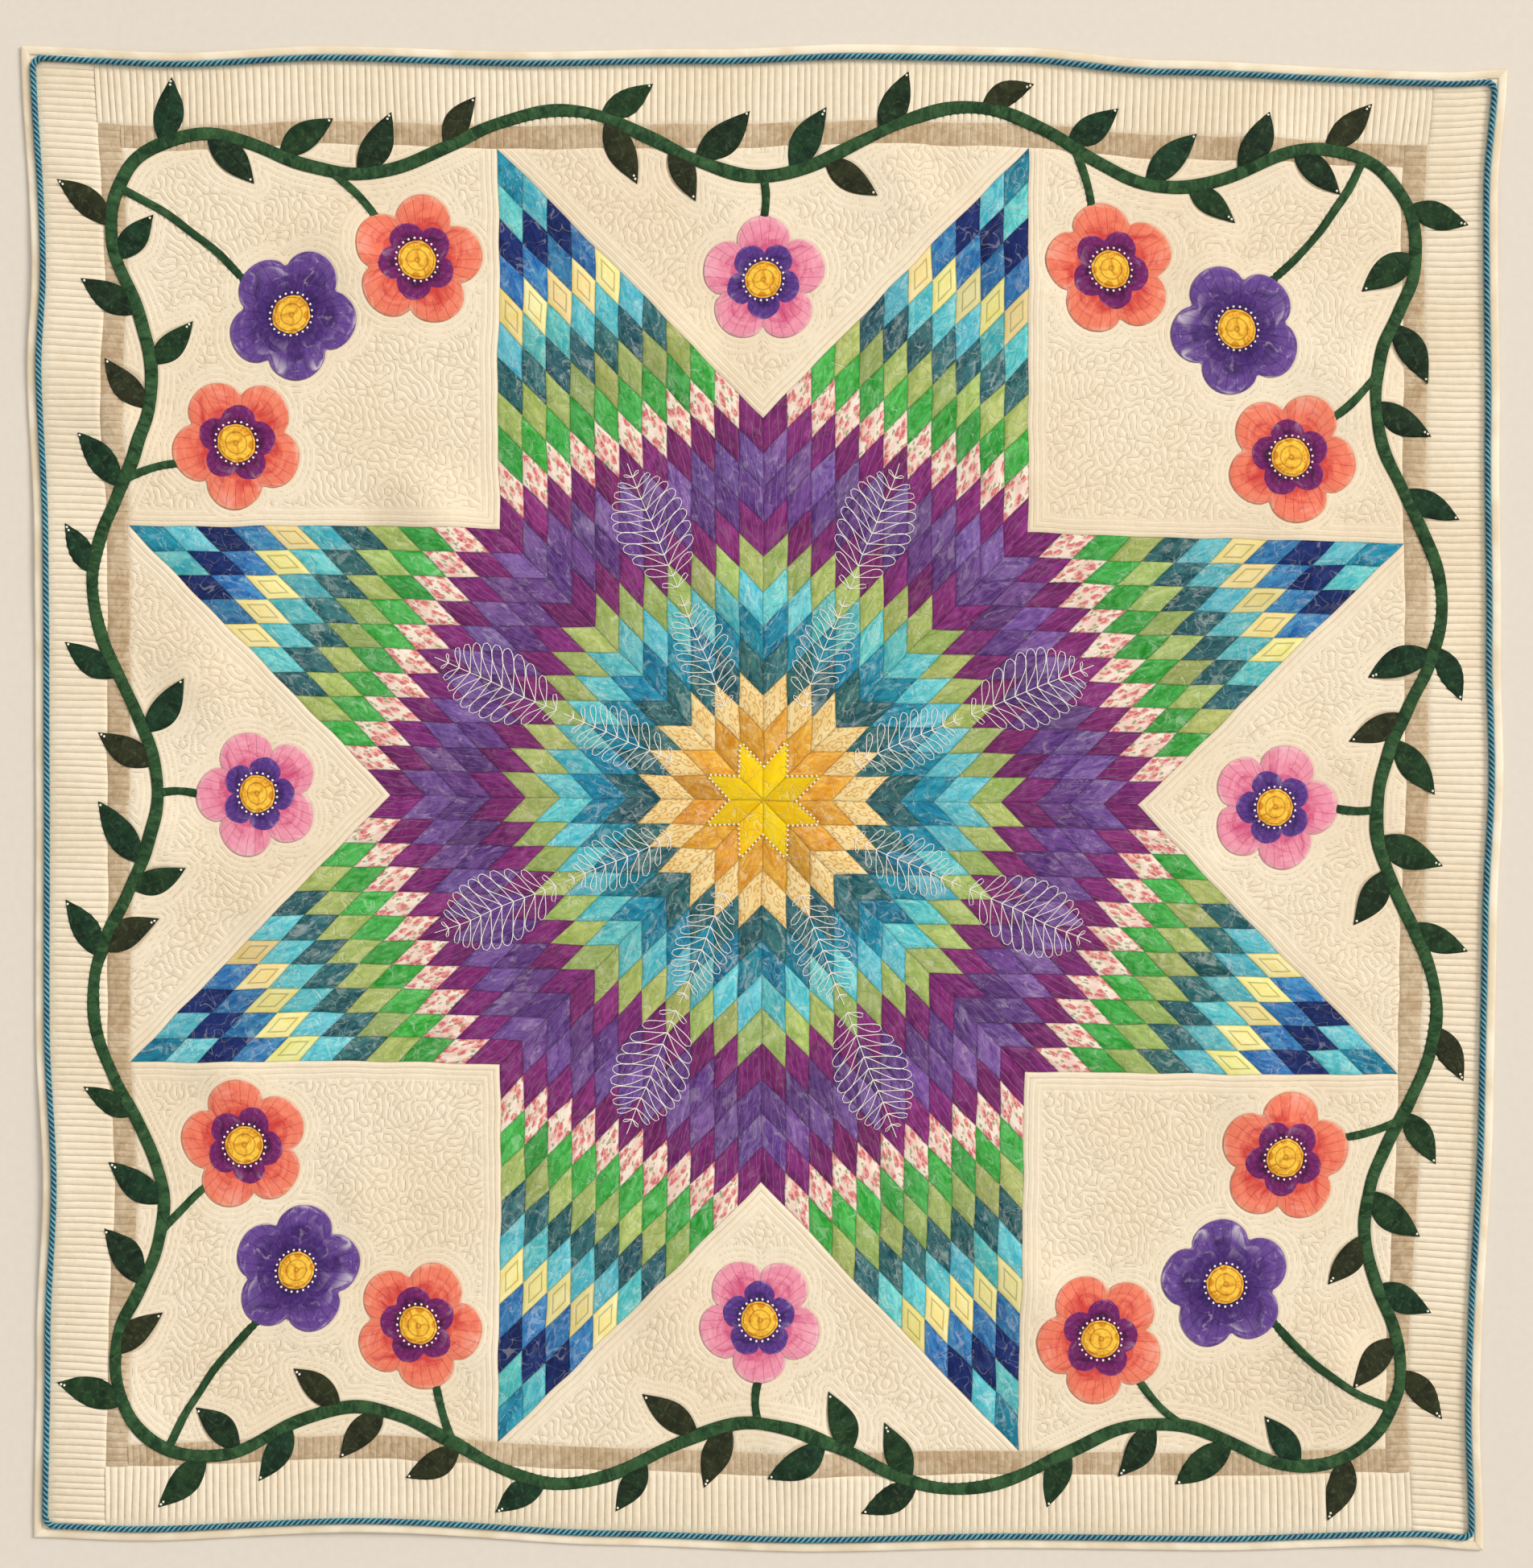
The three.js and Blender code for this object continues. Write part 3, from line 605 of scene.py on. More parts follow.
def bound_cotton(name):
    """Cream binding with a line of stitching along its inner edge."""
    finish = Finish(name, 0.9, sheen_weight=0.1)
    grain = finish.uv("cloth")
    across, _ = finish.parts(finish.uv("place"))
    _, along = finish.parts(grain)
    drift = finish.noise(grain, 14, 4).band(0.3, 0.7)
    base = finish.blend(drift, rgb(242, 232, 212), rgb(226, 211, 184))
    stitch = (along * (2 * math.pi / 0.0032)).sin().band(-0.5, 0.1)
    line = (1 - abs(across - 0.93).band(0.004, 0.016)) * stitch
    base = finish.blend(line * 0.6, base, rgb(176, 156, 126))
    crumple = finish.noise(grain, 60, 3)
    return finish.wear(base, crumple * 1.2 + finish.weave(grain) * 0.08 - line * 0.6, 0.0008)


def backing_cotton(name):
    """Plain cream cotton of the underside, dimpled by the quilting."""
    finish = Finish(name, 0.93)
    grain = finish.uv("cloth")
    drift = finish.noise(grain, 5, 4).band(0.3, 0.7)
    base = finish.blend(drift, rgb(236, 226, 206), rgb(220, 206, 180))
    line = abs(finish.noise(grain, 42, 1) - 0.5).band(0.05, 0.0)
    base = finish.blend(line * 0.4, base, rgb(176, 158, 130))
    return finish.wear(base, finish.noise(grain, 200, 3) * 0.4 - line, 0.0012)


def glass_pearl(name):
    """White pearl beads."""
    finish = Finish(name, 0.25, coat_weight=0.6)
    where = finish.add("TexCoord", {}, {}, "Object")
    base = finish.blend(finish.noise(where, 260, 2), rgb(250, 246, 238), rgb(228, 222, 214))
    return finish.wear(base)


def quilting_thread(name):
    """Heavy white quilting thread, with its twist."""
    finish = Finish(name, 0.7)
    _, along = finish.parts(finish.uv("cloth"))
    ply = (along * (2 * math.pi / 0.0016)).sin()
    base = finish.blend(ply.band(-1, 0.2), rgb(226, 225, 220), rgb(248, 247, 242))
    return finish.wear(base, ply, 0.0001)


def pale_floor(name):
    """Plain pale floor with the finest mottle."""
    finish = Finish(name, 0.95)
    where = finish.add("TexCoord", {}, {}, "Object")
    base = finish.blend(finish.noise(where, 90, 3), rgb(220, 214, 206), rgb(214, 208, 199))
    return finish.wear(base)


# the last colour of each is the painted shade along its lines of stitching
GROUND = cream_cotton("cream_ground", rgb(243, 231, 209), rgb(232, 216, 188), rgb(190, 168, 136))
BORDER = cream_cotton("cream_border", rgb(243, 232, 211), rgb(230, 214, 186), rgb(178, 157, 126))
TAN = tan_cotton("tan_strip")

chance = np.random.default_rng(11)


# The pieced star

STAR_EDGE = FIELD_HALF / (1 + math.sqrt(0.5))  # long edge of a star point
# Each cloth's deep and light dyes, and how strongly it is figured with pale marks
DYES = {
    "sunshine": (rgb(250, 200, 0), rgb(255, 222, 28), 0.1),
    "gold": (rgb(206, 132, 24), rgb(242, 188, 80), 0.5),
    "scroll": (rgb(240, 210, 150), rgb(240, 210, 150), 0),
    "plum": (rgb(98, 16, 90), rgb(146, 52, 134), 0.15),
    "purple": (rgb(72, 32, 110), rgb(120, 80, 154), 0.35),
    "violet": (rgb(88, 50, 130), rgb(142, 106, 178), 0.4),
    "navy": (rgb(10, 26, 82), rgb(32, 54, 120), 0.12),
    "blue": (rgb(22, 92, 164), rgb(78, 152, 204), 0.45),
    "teal": (rgb(4, 104, 136), rgb(44, 156, 184), 0.65),
    "turquoise": (rgb(48, 172, 192), rgb(132, 216, 222), 0.55),
    "lemon": (rgb(246, 228, 138), rgb(252, 243, 184), 0.2),
    "sage": (rgb(142, 168, 84), rgb(190, 204, 132), 0.3),
    "green": (rgb(30, 146, 40), rgb(96, 196, 104), 0.3),
    "deep_teal": (rgb(8, 72, 86), rgb(72, 128, 132), 0.6),
    "rose": (rgb(240, 205, 195), rgb(240, 205, 195), 0),
}
# The star's rounds of diamonds, from its middle out
ROUNDS = (
    "sunshine", "gold", "scroll", "deep_teal", "teal", "turquoise", "sage", "plum", "purple", "violet",
    "plum", "rose", "green", "sage", "deep_teal", "turquoise", "lemon", "blue", "navy", "turquoise", "teal",
)
PATCH_CLOTHS = [
    batik("batik"), batik("batik_echoed", echo=True), batik("batik_rayed", rays=150, roughness=0.7),
    scroll_print("scroll_print"), rose_print("rose_print"),
]
CLOTH_OF = {"lemon": 1, "plum": 2, "purple": 2, "violet": 2, "scroll": 3, "rose": 4}
DYE_VARY, HUE_VARY = 0.16, 0.07  # how far one patch's dye goes from the next's
SEAM_STEPS = (0, 0.05, 0.18, 0.5, 0.82, 0.95, 1)  # where a patch's grid lines lie, closer at its seams
SMALL = STAR_EDGE / DIAMONDS  # side of one small diamond


def stepped(share):
    return np.interp(share, np.linspace(0, 1, len(SEAM_STEPS)), SEAM_STEPS)


def puffed(across, along):
    """Height of a patch, puffed up between its seams."""
    rise = np.clip(4 * across * (1 - across), 0, 1) * np.clip(4 * along * (1 - along), 0, 1)
    return SEAM_TOP + (PUFF_TOP - SEAM_TOP) * rise**0.42


def star_frame(point):
    """The two edge directions of a star point."""
    turn = 2 * math.pi / STAR_POINTS
    return [np.array((math.cos(a), math.sin(a))) for a in (point * turn, (point + 1) * turn)]


def piece_star():
    drawing = Drawing(dyed=True)
    for point in range(STAR_POINTS):
        first, second = star_frame(point)
        for i in range(DIAMONDS):
            for j in range(DIAMONDS):
                cloth = ROUNDS[i + j]
                shift = chance.uniform(0, 3, 2)
                turn = chance.uniform(0, 2 * math.pi)
                hue = chance.uniform(-HUE_VARY, HUE_VARY, 3)
                tone = 1 + np.append(hue + chance.uniform(-DYE_VARY, DYE_VARY), 0)
                *pair, figured = DYES[cloth]
                dyes = [np.minimum(np.array(dye) * tone, 1) for dye in pair]
                dyes[0][3] = figured

                def shape(u, v):
                    across, along = stepped(u), stepped(v)
                    spot = np.outer(i + across, first * SMALL) + np.outer(j + along, second * SMALL)
                    return rows(spot[:, 0], spot[:, 1], puffed(across, along))

                def cut(u, v):
                    x, y = stepped(u) * SMALL * MM, stepped(v) * SMALL * MM
                    return np.column_stack((x * math.cos(turn) - y * math.sin(turn),
                                            x * math.sin(turn) + y * math.cos(turn))) + shift

                steps = len(SEAM_STEPS) - 1
                drawing.add(steps, steps, shape, cut, finish=CLOTH_OF.get(cloth, 0), dyes=dyes,
                            place=lambda u, v: np.column_stack((stepped(u), stepped(v))))
    return drawing.sew("star_patchwork", PATCH_CLOTHS)


def star_height(point, spots):
    """Height of the star's cloth at points of one star point."""
    first, second = star_frame(point)
    solve = np.linalg.inv(np.column_stack((first, second)) * SMALL)
    across, along = solve @ spots.T
    return puffed(across % 1, along % 1)


# The tan strip and the channel-quilted border, whose west and east lengths run through the corners

CHANNEL = 10.6  # pitch of the border's channels
CHANNEL_STEPS = (0, 0.12, 0.34, 0.66, 0.88)  # where a channel's grid lines lie, closer at its stitching
STRIP_ROWS = (932, 934, 939, 948.5, 958, 963, 965)  # the tan strip's grid lines, out from the middle
BORDER_ROWS = (965, 967, 970, 974, 1006, 1038, 1042, 1048, 1063)  # the border's
BORDER_OUT = HALF - 9  # where the border's cloth ends under the binding


def channel_lines():
    """Lines of stitching across one side's frame: the way along of each, and its lean at the edge."""
    count = round(2 * BORDER_OUT / CHANNEL)
    lines = np.linspace(-BORDER_OUT, BORDER_OUT, count + 1)
    stray = np.convolve(chance.uniform(-1, 1, count + 9), np.ones(9) / 3, "valid")
    ends = np.clip(np.minimum(np.arange(count + 1), np.arange(count, -1, -1)) / 6, 0, 1)
    return lines + chance.uniform(-1.1, 1.1, count + 1) * ends, stray * 3 * ends


def strip_height(out, rise):
    """Height of the tan strip, whose seams hold it down on either side."""
    share = (out - FIELD_HALF) / (STRIP_HALF - FIELD_HALF)
    return SEAM_TOP + np.clip(4 * share * (1 - share), 0, 1) ** 0.35 * (0.5 + 1.5 * rise)


def border_height(out, rise):
    """Height of the border from the strip's seam to the edge."""
    seam = np.clip((out - STRIP_HALF) / 8, 0, 1) ** 0.5
    flat = np.clip((HALF - out - BORDER_FOOT) / 8, 0, 1)
    return EDGE_TOP + (SEAM_TOP + seam * (0.3 + 2.5 * rise) - EDGE_TOP) * flat


def frame_length(name, side, lines, across, end, height, cloth):
    """One straight length of the tan strip or the border."""
    drawing = Drawing()
    places, leans = lines
    gaps = np.diff(places)
    stations = (places[:-1, None] + gaps[:, None] * np.array(CHANNEL_STEPS)).ravel()
    stations = np.concatenate(([-end], stations[np.abs(stations) < end - 0.5], [end]))

    def rise_at(way):
        share = np.interp(way, places, np.arange(len(places))) % 1
        return np.clip(4 * share * (1 - share), 0, 1) ** 0.6

    def way_at(u):
        return np.interp(u, np.linspace(0, 1, len(stations)), stations)

    def shape(u, v):
        way, out = way_at(u), np.interp(v, np.linspace(0, 1, len(across)), across)
        lean = np.interp(way, places, leans) * (out - FIELD_HALF) / (BORDER_OUT - FIELD_HALF)
        lean *= np.clip((end - np.abs(way)) / 30, 0, 1)
        return on_side(rows(way + lean, out, height(out, rise_at(way))), side)

    def stands(u, v):
        return np.column_stack((rise_at(way_at(u)), v))

    drawing.add(len(stations) - 1, len(across) - 1, shape, place=stands)
    return drawing.sew(name, [cloth])


def piece_frame():
    pieces = []
    for side, name in enumerate(SIDES):
        lines = channel_lines()
        through = name in ("west", "east")
        end = STRIP_HALF if through else FIELD_HALF
        pieces.append(frame_length(f"tan_strip_{name}", side, lines, STRIP_ROWS, end, strip_height, TAN))
        end = BORDER_OUT if through else STRIP_HALF
        pieces.append(frame_length(f"border_{name}", side, lines, BORDER_ROWS, end, border_height, BORDER))
    return pieces


# Wadding and backing

BODY = {"in": 5, "under": 0.5, "top": 1.8, "cuts": 80}


def layer_body():
    drawing = Drawing()
    wide = 2 * (HALF - BODY["in"])
    thick = BODY["top"] - BODY["under"]
    size = Matrix.Translation((0, 0, BODY["under"] + thick / 2)) @ Matrix.Diagonal((wide, wide, thick, 1))
    bmesh.ops.create_cube(drawing.bm, size=1, matrix=size)
    level = [edge for edge in drawing.bm.edges if abs(edge.verts[0].co.z - edge.verts[1].co.z) < 0.1]
    bmesh.ops.subdivide_edges(drawing.bm, edges=level, cuts=BODY["cuts"], use_grid_fill=True)
    for face in drawing.bm.faces:
        for corner in face.loops:
            corner[drawing.cloth].uv = corner.vert.co.xy * MM
    return drawing.sew("quilt_layers", [backing_cotton("cream_backing")], ["quilt_body"])


# Binding, folded over the raw edge and mitred

# Its section from the underside round the edge to the top: in from the edge, height
BOUND = (
    (13.4, 0.9), (13.2, 0.2), (9, 0), (4, 0), (1.3, 0.5), (0.2, 1.7), (0, 2.8), (0.4, 4), (1.7, 5),
    (4.2, 5.5), (8, 5.6), (11.4, 5.3), (13, 4.6), (13.4, 3.4),
)
BOUND_STEPS = 320  # steps along one side


def bind_edges():
    cloth = bound_cotton("cream_binding")
    inward, height = np.array(BOUND).T
    steps = np.linspace(0, 1, len(BOUND))
    pieces = []
    for side, name in enumerate(SIDES):
        drawing = Drawing()

        def shape(u, v):
            in_, up = np.interp(u, steps, inward), np.interp(u, steps, height)
            way = (2 * v - 1) * (HALF - in_)
            ruck = 0.25 * np.sin(way / 9 + 3 * np.sin(way / 50)) * np.clip((up - 3) / 2, 0, 1)
            return on_side(rows(way, HALF - in_, up + ruck), side)

        def cut(u, v):
            return np.column_stack((u * 0.032, (v - 0.5) * 2 * HALF * MM + 3 * side))

        drawing.add(len(BOUND) - 1, BOUND_STEPS, shape, cut)
        pieces.append(drawing.sew(f"bound_edge_{name}", [cloth], [f"binding_{name}"]))
    return pieces


# Twisted cord beside the binding

CORD = {
    "in": 18.6, "radius": 4.8, "middle": 8.5, "corner": 14,
    "strands": 3, "lay": 24, "step": 2.6, "around": 12,
}


def along_line(line, run, at):
    """Points at given runs along a line."""
    return np.column_stack([np.interp(at, run, line[:, axis]) for axis in (0, 1)])


def run_of(line):
    """The run of a line up to each of its points."""
    return np.concatenate(([0], np.cumsum(np.hypot(*np.diff(line, axis=0).T))))


def cord_path():
    """Points of the ring of the cord's middle, and the run of the cord up to each."""
    reach = HALF - CORD["in"] - CORD["corner"]
    turns = np.radians(np.arange(0, 91, 10))
    corner = np.column_stack((np.cos(turns), np.sin(turns))) * CORD["corner"] + reach
    ring = np.concatenate([on_side(rows(*corner.T, 0), side)[:, :2] for side in range(4)])
    ring = np.vstack((ring, ring[:1]))
    return ring, run_of(ring)


def lay_cord():
    ring, run = cord_path()
    steps = round(run[-1] / CORD["step"])
    turns = round(run[-1] / CORD["lay"])
    drawing = Drawing()

    def shape(u, v):
        at = v * run[-1]
        x, y = along_line(ring, run, at).T
        way = along_line(ring, run, (at + 1) % run[-1]) - along_line(ring, run, (at - 1) % run[-1])
        way /= np.hypot(*way.T)[:, None]
        radius = CORD["radius"] * (0.68 + 0.32 * np.abs(np.cos(math.pi * CORD["strands"] * u)) ** 0.8)
        turn = 2 * math.pi * (u + v * turns)  # the grid winds with the strands
        out, up = radius * np.cos(turn), radius * np.sin(turn)
        return rows(x + way[:, 1] * out, y - way[:, 0] * out, CORD["middle"] + up)

    def cut(u, v):
        return np.column_stack((u * 0.03, v * run[-1] * MM))

    drawing.add(CORD["around"], steps, shape, cut,
                place=lambda u, v: np.column_stack((u + v * turns, v)))
    cloth = twisted_cord("turquoise_cord", CORD["strands"], turns)
    return drawing.sew("twisted_cord", [cloth], ["piping"], weld=0.01, outward=True)


# Vine: stem, leaves and stalks along each side

VINE = {"guide": 938, "corner": 200, "swing": 48, "waves": 3}
STRAIGHT = VINE["guide"] - VINE["corner"]
QUARTER = STRAIGHT + VINE["corner"] * math.pi / 4
STEM_WIDTH, STALK_WIDTH = 18, 12
LEAF_WIDTH = 0.43
LEAF_VARY = {"length": 0.05, "angle": 4, "lean": 0.12, "bow": 0.035}
STEM_VARY = 0.07
STEM_STEPS = 260
# Leaves of one side: way along the stem, side of it, length, angle from it
LEAVES = (
    (-856, 1, 98, 50), (-798, -1, 94, 48), (-704, 1, 100, 58), (-588, 1, 98, 55), (-462, 1, 88, 36),
    (-236, 1, 92, 46), (-226, -1, 98, 46), (-137, -1, 90, 40), (-100, 1, 104, 60), (42, 1, 100, 52),
    (89, -1, 96, 56), (168, 1, 92, 36), (315, 1, 86, 34), (441, 1, 94, 62), (557, 1, 98, 58),
    (620, -1, 88, 46), (693, 1, 96, 40), (767, -1, 92, 58), (809, 1, 96, 48),
)
# Flowers of one side: x, y, turn of the petals, foot of the stalk on the stem, size, colour
FLOWERS = (
    (-505, 768, 10, -630, 1, "coral"), (0, 742, 18, 0, 0.96, "pink"), (505, 768, 30, 452, 1, "coral"),
    (688, 688, 45, 856, 1, "purple"),
)
PETALS = {"count": 5, "radius": 95, "notch": 0.3, "folds": 15, "fold": 0.35, "inner": 0.6}
CENTRE_RADIUS = 29
LEAF_DYES = (
    (rgb(10, 30, 16), rgb(28, 52, 32)), (rgb(8, 34, 20), rgb(24, 60, 38)), (rgb(28, 32, 16), rgb(46, 50, 28)),
    (rgb(12, 40, 20), rgb(34, 64, 36)),
)


def vine_spot(along):
    """Points of the stem's middle."""
    along = np.asarray(along, float)
    turn = np.maximum(0, np.abs(along) - STRAIGHT) / VINE["corner"]
    sign = np.sign(along)
    reach = VINE["corner"] - VINE["swing"] * np.cos(VINE["waves"] * math.pi * along / QUARTER)
    x = sign * np.minimum(np.abs(along), STRAIGHT) + sign * np.sin(turn) * reach
    return np.column_stack(np.atleast_1d(x, STRAIGHT + np.cos(turn) * reach))


def vine_way(along):
    """The way that the stem runs."""
    way = vine_spot(np.asarray(along) + 1) - vine_spot(np.asarray(along) - 1)
    return way / np.hypot(*way.T)[:, None]


APPLIQUE_EDGE = 5.2  # height of a sewn-down shape's turned edge
APPLIQUE_FOOT = 3.0  # where that edge meets the ground


def strip_shape(middle, way, width, rise, side, bulges, tuck=0):
    """A narrow sewn-down strip, from its middle and way at each share along it; its far end may tuck down."""

    def shape(u, v):
        spot, ahead = middle(v), way(v)
        out = np.interp(u, np.linspace(0, 1, 9), (-1, -1, -0.92, -0.6, 0, 0.6, 0.92, 1, 1))
        height = APPLIQUE_EDGE + rise * np.sqrt(np.clip(1 - np.abs(out) ** 3, 0, 1))
        height -= tuck * np.clip((v - 0.8) / 0.2, 0, 1)
        height = np.where((u < 0.01) | (u > 0.99), APPLIQUE_FOOT, height)
        out *= width / 2 * (1 + STEM_VARY * np.sin(2 * math.pi * bulges * v + side) * np.sin(math.pi * v))
        return on_side(rows(spot[:, 0] + ahead[:, 1] * out, spot[:, 1] - ahead[:, 0] * out, height), side)

    return shape


def differ(seed):
    """A number from -1 to 1 that differs from one leaf to the next."""
    return math.sin(seed * 2.399)


def petal_reach(flower, turn):
    """How far out the petals reach, on each turn round the flower."""
    _, _, spin, _, size, _ = flower
    lobe = np.abs(np.cos(PETALS["count"] * (turn - math.radians(spin)) / 2)) ** 0.6
    return PETALS["radius"] * size * (1 - PETALS["notch"] * (1 - lobe))


def leaf_line(index, side):
    """A leaf's foot, direction and length."""
    at, hand, length, angle = LEAVES[index]
    seed = index + side * len(LEAVES)
    length *= 1 + LEAF_VARY["length"] * differ(seed)
    turn = hand * math.radians(angle + LEAF_VARY["angle"] * differ(seed + 0.5))
    x, y = vine_way(at)[0]
    way = np.array((x * math.cos(turn) - y * math.sin(turn), x * math.sin(turn) + y * math.cos(turn)))
    return vine_spot(at)[0], way, length


def leaf_shape(index, side):
    foot, way, length = leaf_line(index, side)
    seed = index + side * len(LEAVES)
    lean, bow = LEAF_VARY["lean"] * differ(seed + 0.2), LEAF_VARY["bow"] * differ(seed + 0.7) * length

    def shape(u, v):
        out = np.interp(u, np.linspace(0, 1, 11), (-1, -1, -0.93, -0.66, -0.2, 0, 0.2, 0.66, 0.93, 1, 1))
        half = LEAF_WIDTH / 2 * length * np.sin(math.pi * v**0.85)
        aside = out * half * (1 + lean * out) + bow * np.sin(math.pi * v)
        x = foot[0] + way[0] * v * length + way[1] * aside
        y = foot[1] + way[1] * v * length - way[0] * aside
        crown = np.sqrt(np.clip(1 - out**4, 0, 1)) * np.clip(np.sin(math.pi * v), 0, 1) ** 0.35
        rib = 0.15 * np.exp(-((out / 0.14) ** 2)) * np.sin(math.pi * v)
        height = np.where((u < 0.01) | (u > 0.99), APPLIQUE_FOOT, APPLIQUE_EDGE + 1.7 * crown - rib)
        return on_side(rows(x, y, height), side)

    return shape, length


def sew_vines():
    leaf, stem = leaf_cotton("leaf_green"), stem_cotton("stem_green")
    pieces = []
    for side, name in enumerate(SIDES):
        drawing = Drawing(dyed=True)
        span = 2 * QUARTER
        shape = strip_shape(lambda v: vine_spot((v - 0.5) * span), lambda v: vine_way((v - 0.5) * span),
                            STEM_WIDTH, 2.0, side, 13)
        drawing.add(8, STEM_STEPS, shape, finish=1,
                    cut=lambda u, v: np.column_stack((u * 0.02 + side, v * span * MM)))
        for flower in FLOWERS:
            start, ahead = vine_spot(flower[3])[0], vine_way(flower[3])[0]
            heart = np.array(flower[:2], float)
            turn = math.atan2(*(start - heart)[::-1])
            end = heart + (start - heart) / np.hypot(*(start - heart)) * (petal_reach(flower, turn) - 6)
            bend = (start + end) / 2 + ahead * np.hypot(*(end - start)) * 0.12

            def middle(v):
                v = v[:, None]
                return start * (1 - v) ** 2 + bend * 2 * v * (1 - v) + end * v**2

            def way(v):
                v = v[:, None]
                run = (bend - start) * (1 - v) + (end - bend) * v
                return run / np.hypot(*run.T)[:, None]

            drawing.add(8, 14, strip_shape(middle, way, STALK_WIDTH, 1.6, side, 1, tuck=1.8),
                        lambda u, v: np.column_stack((u * 0.014, v * 0.06 + flower[0])), finish=1)
        for index in range(len(LEAVES)):
            shape, length = leaf_shape(index, side)
            dyes = LEAF_DYES[int(chance.integers(len(LEAF_DYES)))]
            shift = chance.uniform(0, 3, 2)
            drawing.add(10, 18, shape, dyes=dyes,
                        cut=lambda u, v: np.column_stack((u * 0.043, v * length * MM)) + shift)
        pieces.append(drawing.sew(f"leafy_vine_{name}", [leaf, stem], [f"vine_{name}"], weld=0.002))
    return pieces


# Flowers

FLOWER_CLOTHS = {
    "coral": (petal_cotton("coral_petals", rgb(206, 66, 62), rgb(240, 128, 102), rgb(250, 176, 148)),
              petal_cotton("plum_petals", rgb(70, 14, 66), rgb(120, 34, 108), rgb(156, 70, 140))),
    "pink": (petal_cotton("pink_petals", rgb(206, 84, 128), rgb(238, 150, 176), rgb(250, 198, 208)),
             petal_cotton("purple_petals", rgb(56, 30, 100), rgb(92, 56, 142), rgb(134, 100, 184))),
    "purple": (
        # satin petals, whose strong pale flares are partly marks of the cloth and partly painted highlight
        petal_cotton("satin_petals", rgb(58, 28, 100), rgb(98, 64, 146), rgb(136, 104, 178), 0.5, 0.85),
        petal_cotton("deep_purple_petals", rgb(48, 20, 90), rgb(74, 40, 122), rgb(104, 70, 154), 0.6),
    ),
}


def petal_shape(flower, side, scale, foot, rise, spin):
    """A layer of petals, crowned, with a crease between each petal and the next."""

    def shape(u, v):
        turn = -2 * math.pi * u
        out = np.interp(v, np.linspace(0, 1, 11), (0, 0.2, 0.36, 0.5, 0.62, 0.74, 0.85, 0.93, 0.98, 1, 1))
        reach = petal_reach(flower, turn - spin) * scale
        x, y = flower[0] + np.cos(turn) * out * reach, flower[1] + np.sin(turn) * out * reach
        lobe = np.abs(np.cos(PETALS["count"] * (turn - spin - math.radians(flower[2])) / 2))
        crease = 0.9 * np.exp(-((lobe / 0.22) ** 2)) * out * (1 - out**6)
        folds = np.cos(PETALS["folds"] * (turn - spin + 0.3 * np.sin(3 * turn)))
        crease += PETALS["fold"] * folds * (out**3 - out**9)
        crown = np.sqrt(np.clip(1 - out**8, 0, 1)) * (0.82 + 0.18 * np.sin(math.pi * out))
        height = foot + rise * crown - crease
        return on_side(rows(x, y, np.where(v > 0.99, foot - 2.2, height)), side)

    return shape


def round_shape(flower, side, radius, foot, rise):
    def shape(u, v):
        turn = -2 * math.pi * u
        out = np.sin(v * math.pi / 2)
        height = foot + rise * np.sqrt(np.clip(1 - out**3, 0, 1))
        return on_side(rows(flower[0] + np.cos(turn) * out * radius, flower[1] + np.sin(turn) * out * radius,
                            height), side)

    return shape


def round_cut(size):
    def cut(u, v):
        turn = 2 * math.pi * u
        return np.column_stack((np.cos(turn) * v, np.sin(turn) * v)) * size * MM

    return cut


def sew_flowers():
    gold = gold_cotton("gold_centres")
    pieces = []
    for side, name in enumerate(SIDES):
        for number, flower in enumerate(FLOWERS):
            outer, inner = FLOWER_CLOTHS[flower[5]]
            label = f"flower_{name}_{number + 1}"
            drawing = Drawing()
            cut = round_cut(PETALS["radius"])
            drawing.add(100, 10, petal_shape(flower, side, 1, APPLIQUE_EDGE, 1.6, 0), cut)
            shape = petal_shape(flower, side, PETALS["inner"], 6.5, 1.4, math.pi / PETALS["count"])
            drawing.add(80, 10, shape, cut, finish=1)
            pieces.append(drawing.sew(f"blossom_{name}_{number + 1}", [outer, inner],
                                      [f"{label}_petals"], weld=0.002))
            drawing = Drawing()
            shape = round_shape(flower, side, CENTRE_RADIUS * flower[4], 7.0, 2.4)
            drawing.add(28, 6, shape, round_cut(CENTRE_RADIUS))
            pieces.append(drawing.sew(f"boss_{name}_{number + 1}", [gold],
                                      [f"{label}_centre"], weld=0.002))
    return pieces


# The cream ground: a square in each corner, a triangle on each side

WAVES = 28
wave_turns = chance.uniform(0, 2 * math.pi, WAVES)
wave_starts = chance.uniform(0, 2 * math.pi, WAVES)
wave_rates = 2 * math.pi / chance.uniform(15.5, 22, WAVES)
LINE_WIDTH = 2.2  # half width of the valley along a line
ECHO_REACH, ECHO_PITCH = 25, 8.4  # how far quilting echoes a sewn-on shape, and the pitch of its lines
GROUND_CELLS = 200  # cells along a seam of the ground
SEAM_FALL = 5  # how far from a seam the ground begins to fall to it


def meander(x, y):
    """How far the ground stands up from the wandering lines of its quilting, from 0 on a line to 1."""
    rate_x, rate_y = wave_rates * np.cos(wave_turns), wave_rates * np.sin(wave_turns)
    phase = np.outer(x, rate_x) + np.outer(y, rate_y) + wave_starts
    slope = np.hypot((np.sin(phase) * rate_x).sum(1), (np.sin(phase) * rate_y).sum(1))
    return 1 - np.exp(-(np.abs(np.cos(phase).sum(1)) / (slope + 0.02) / LINE_WIDTH) ** 2)


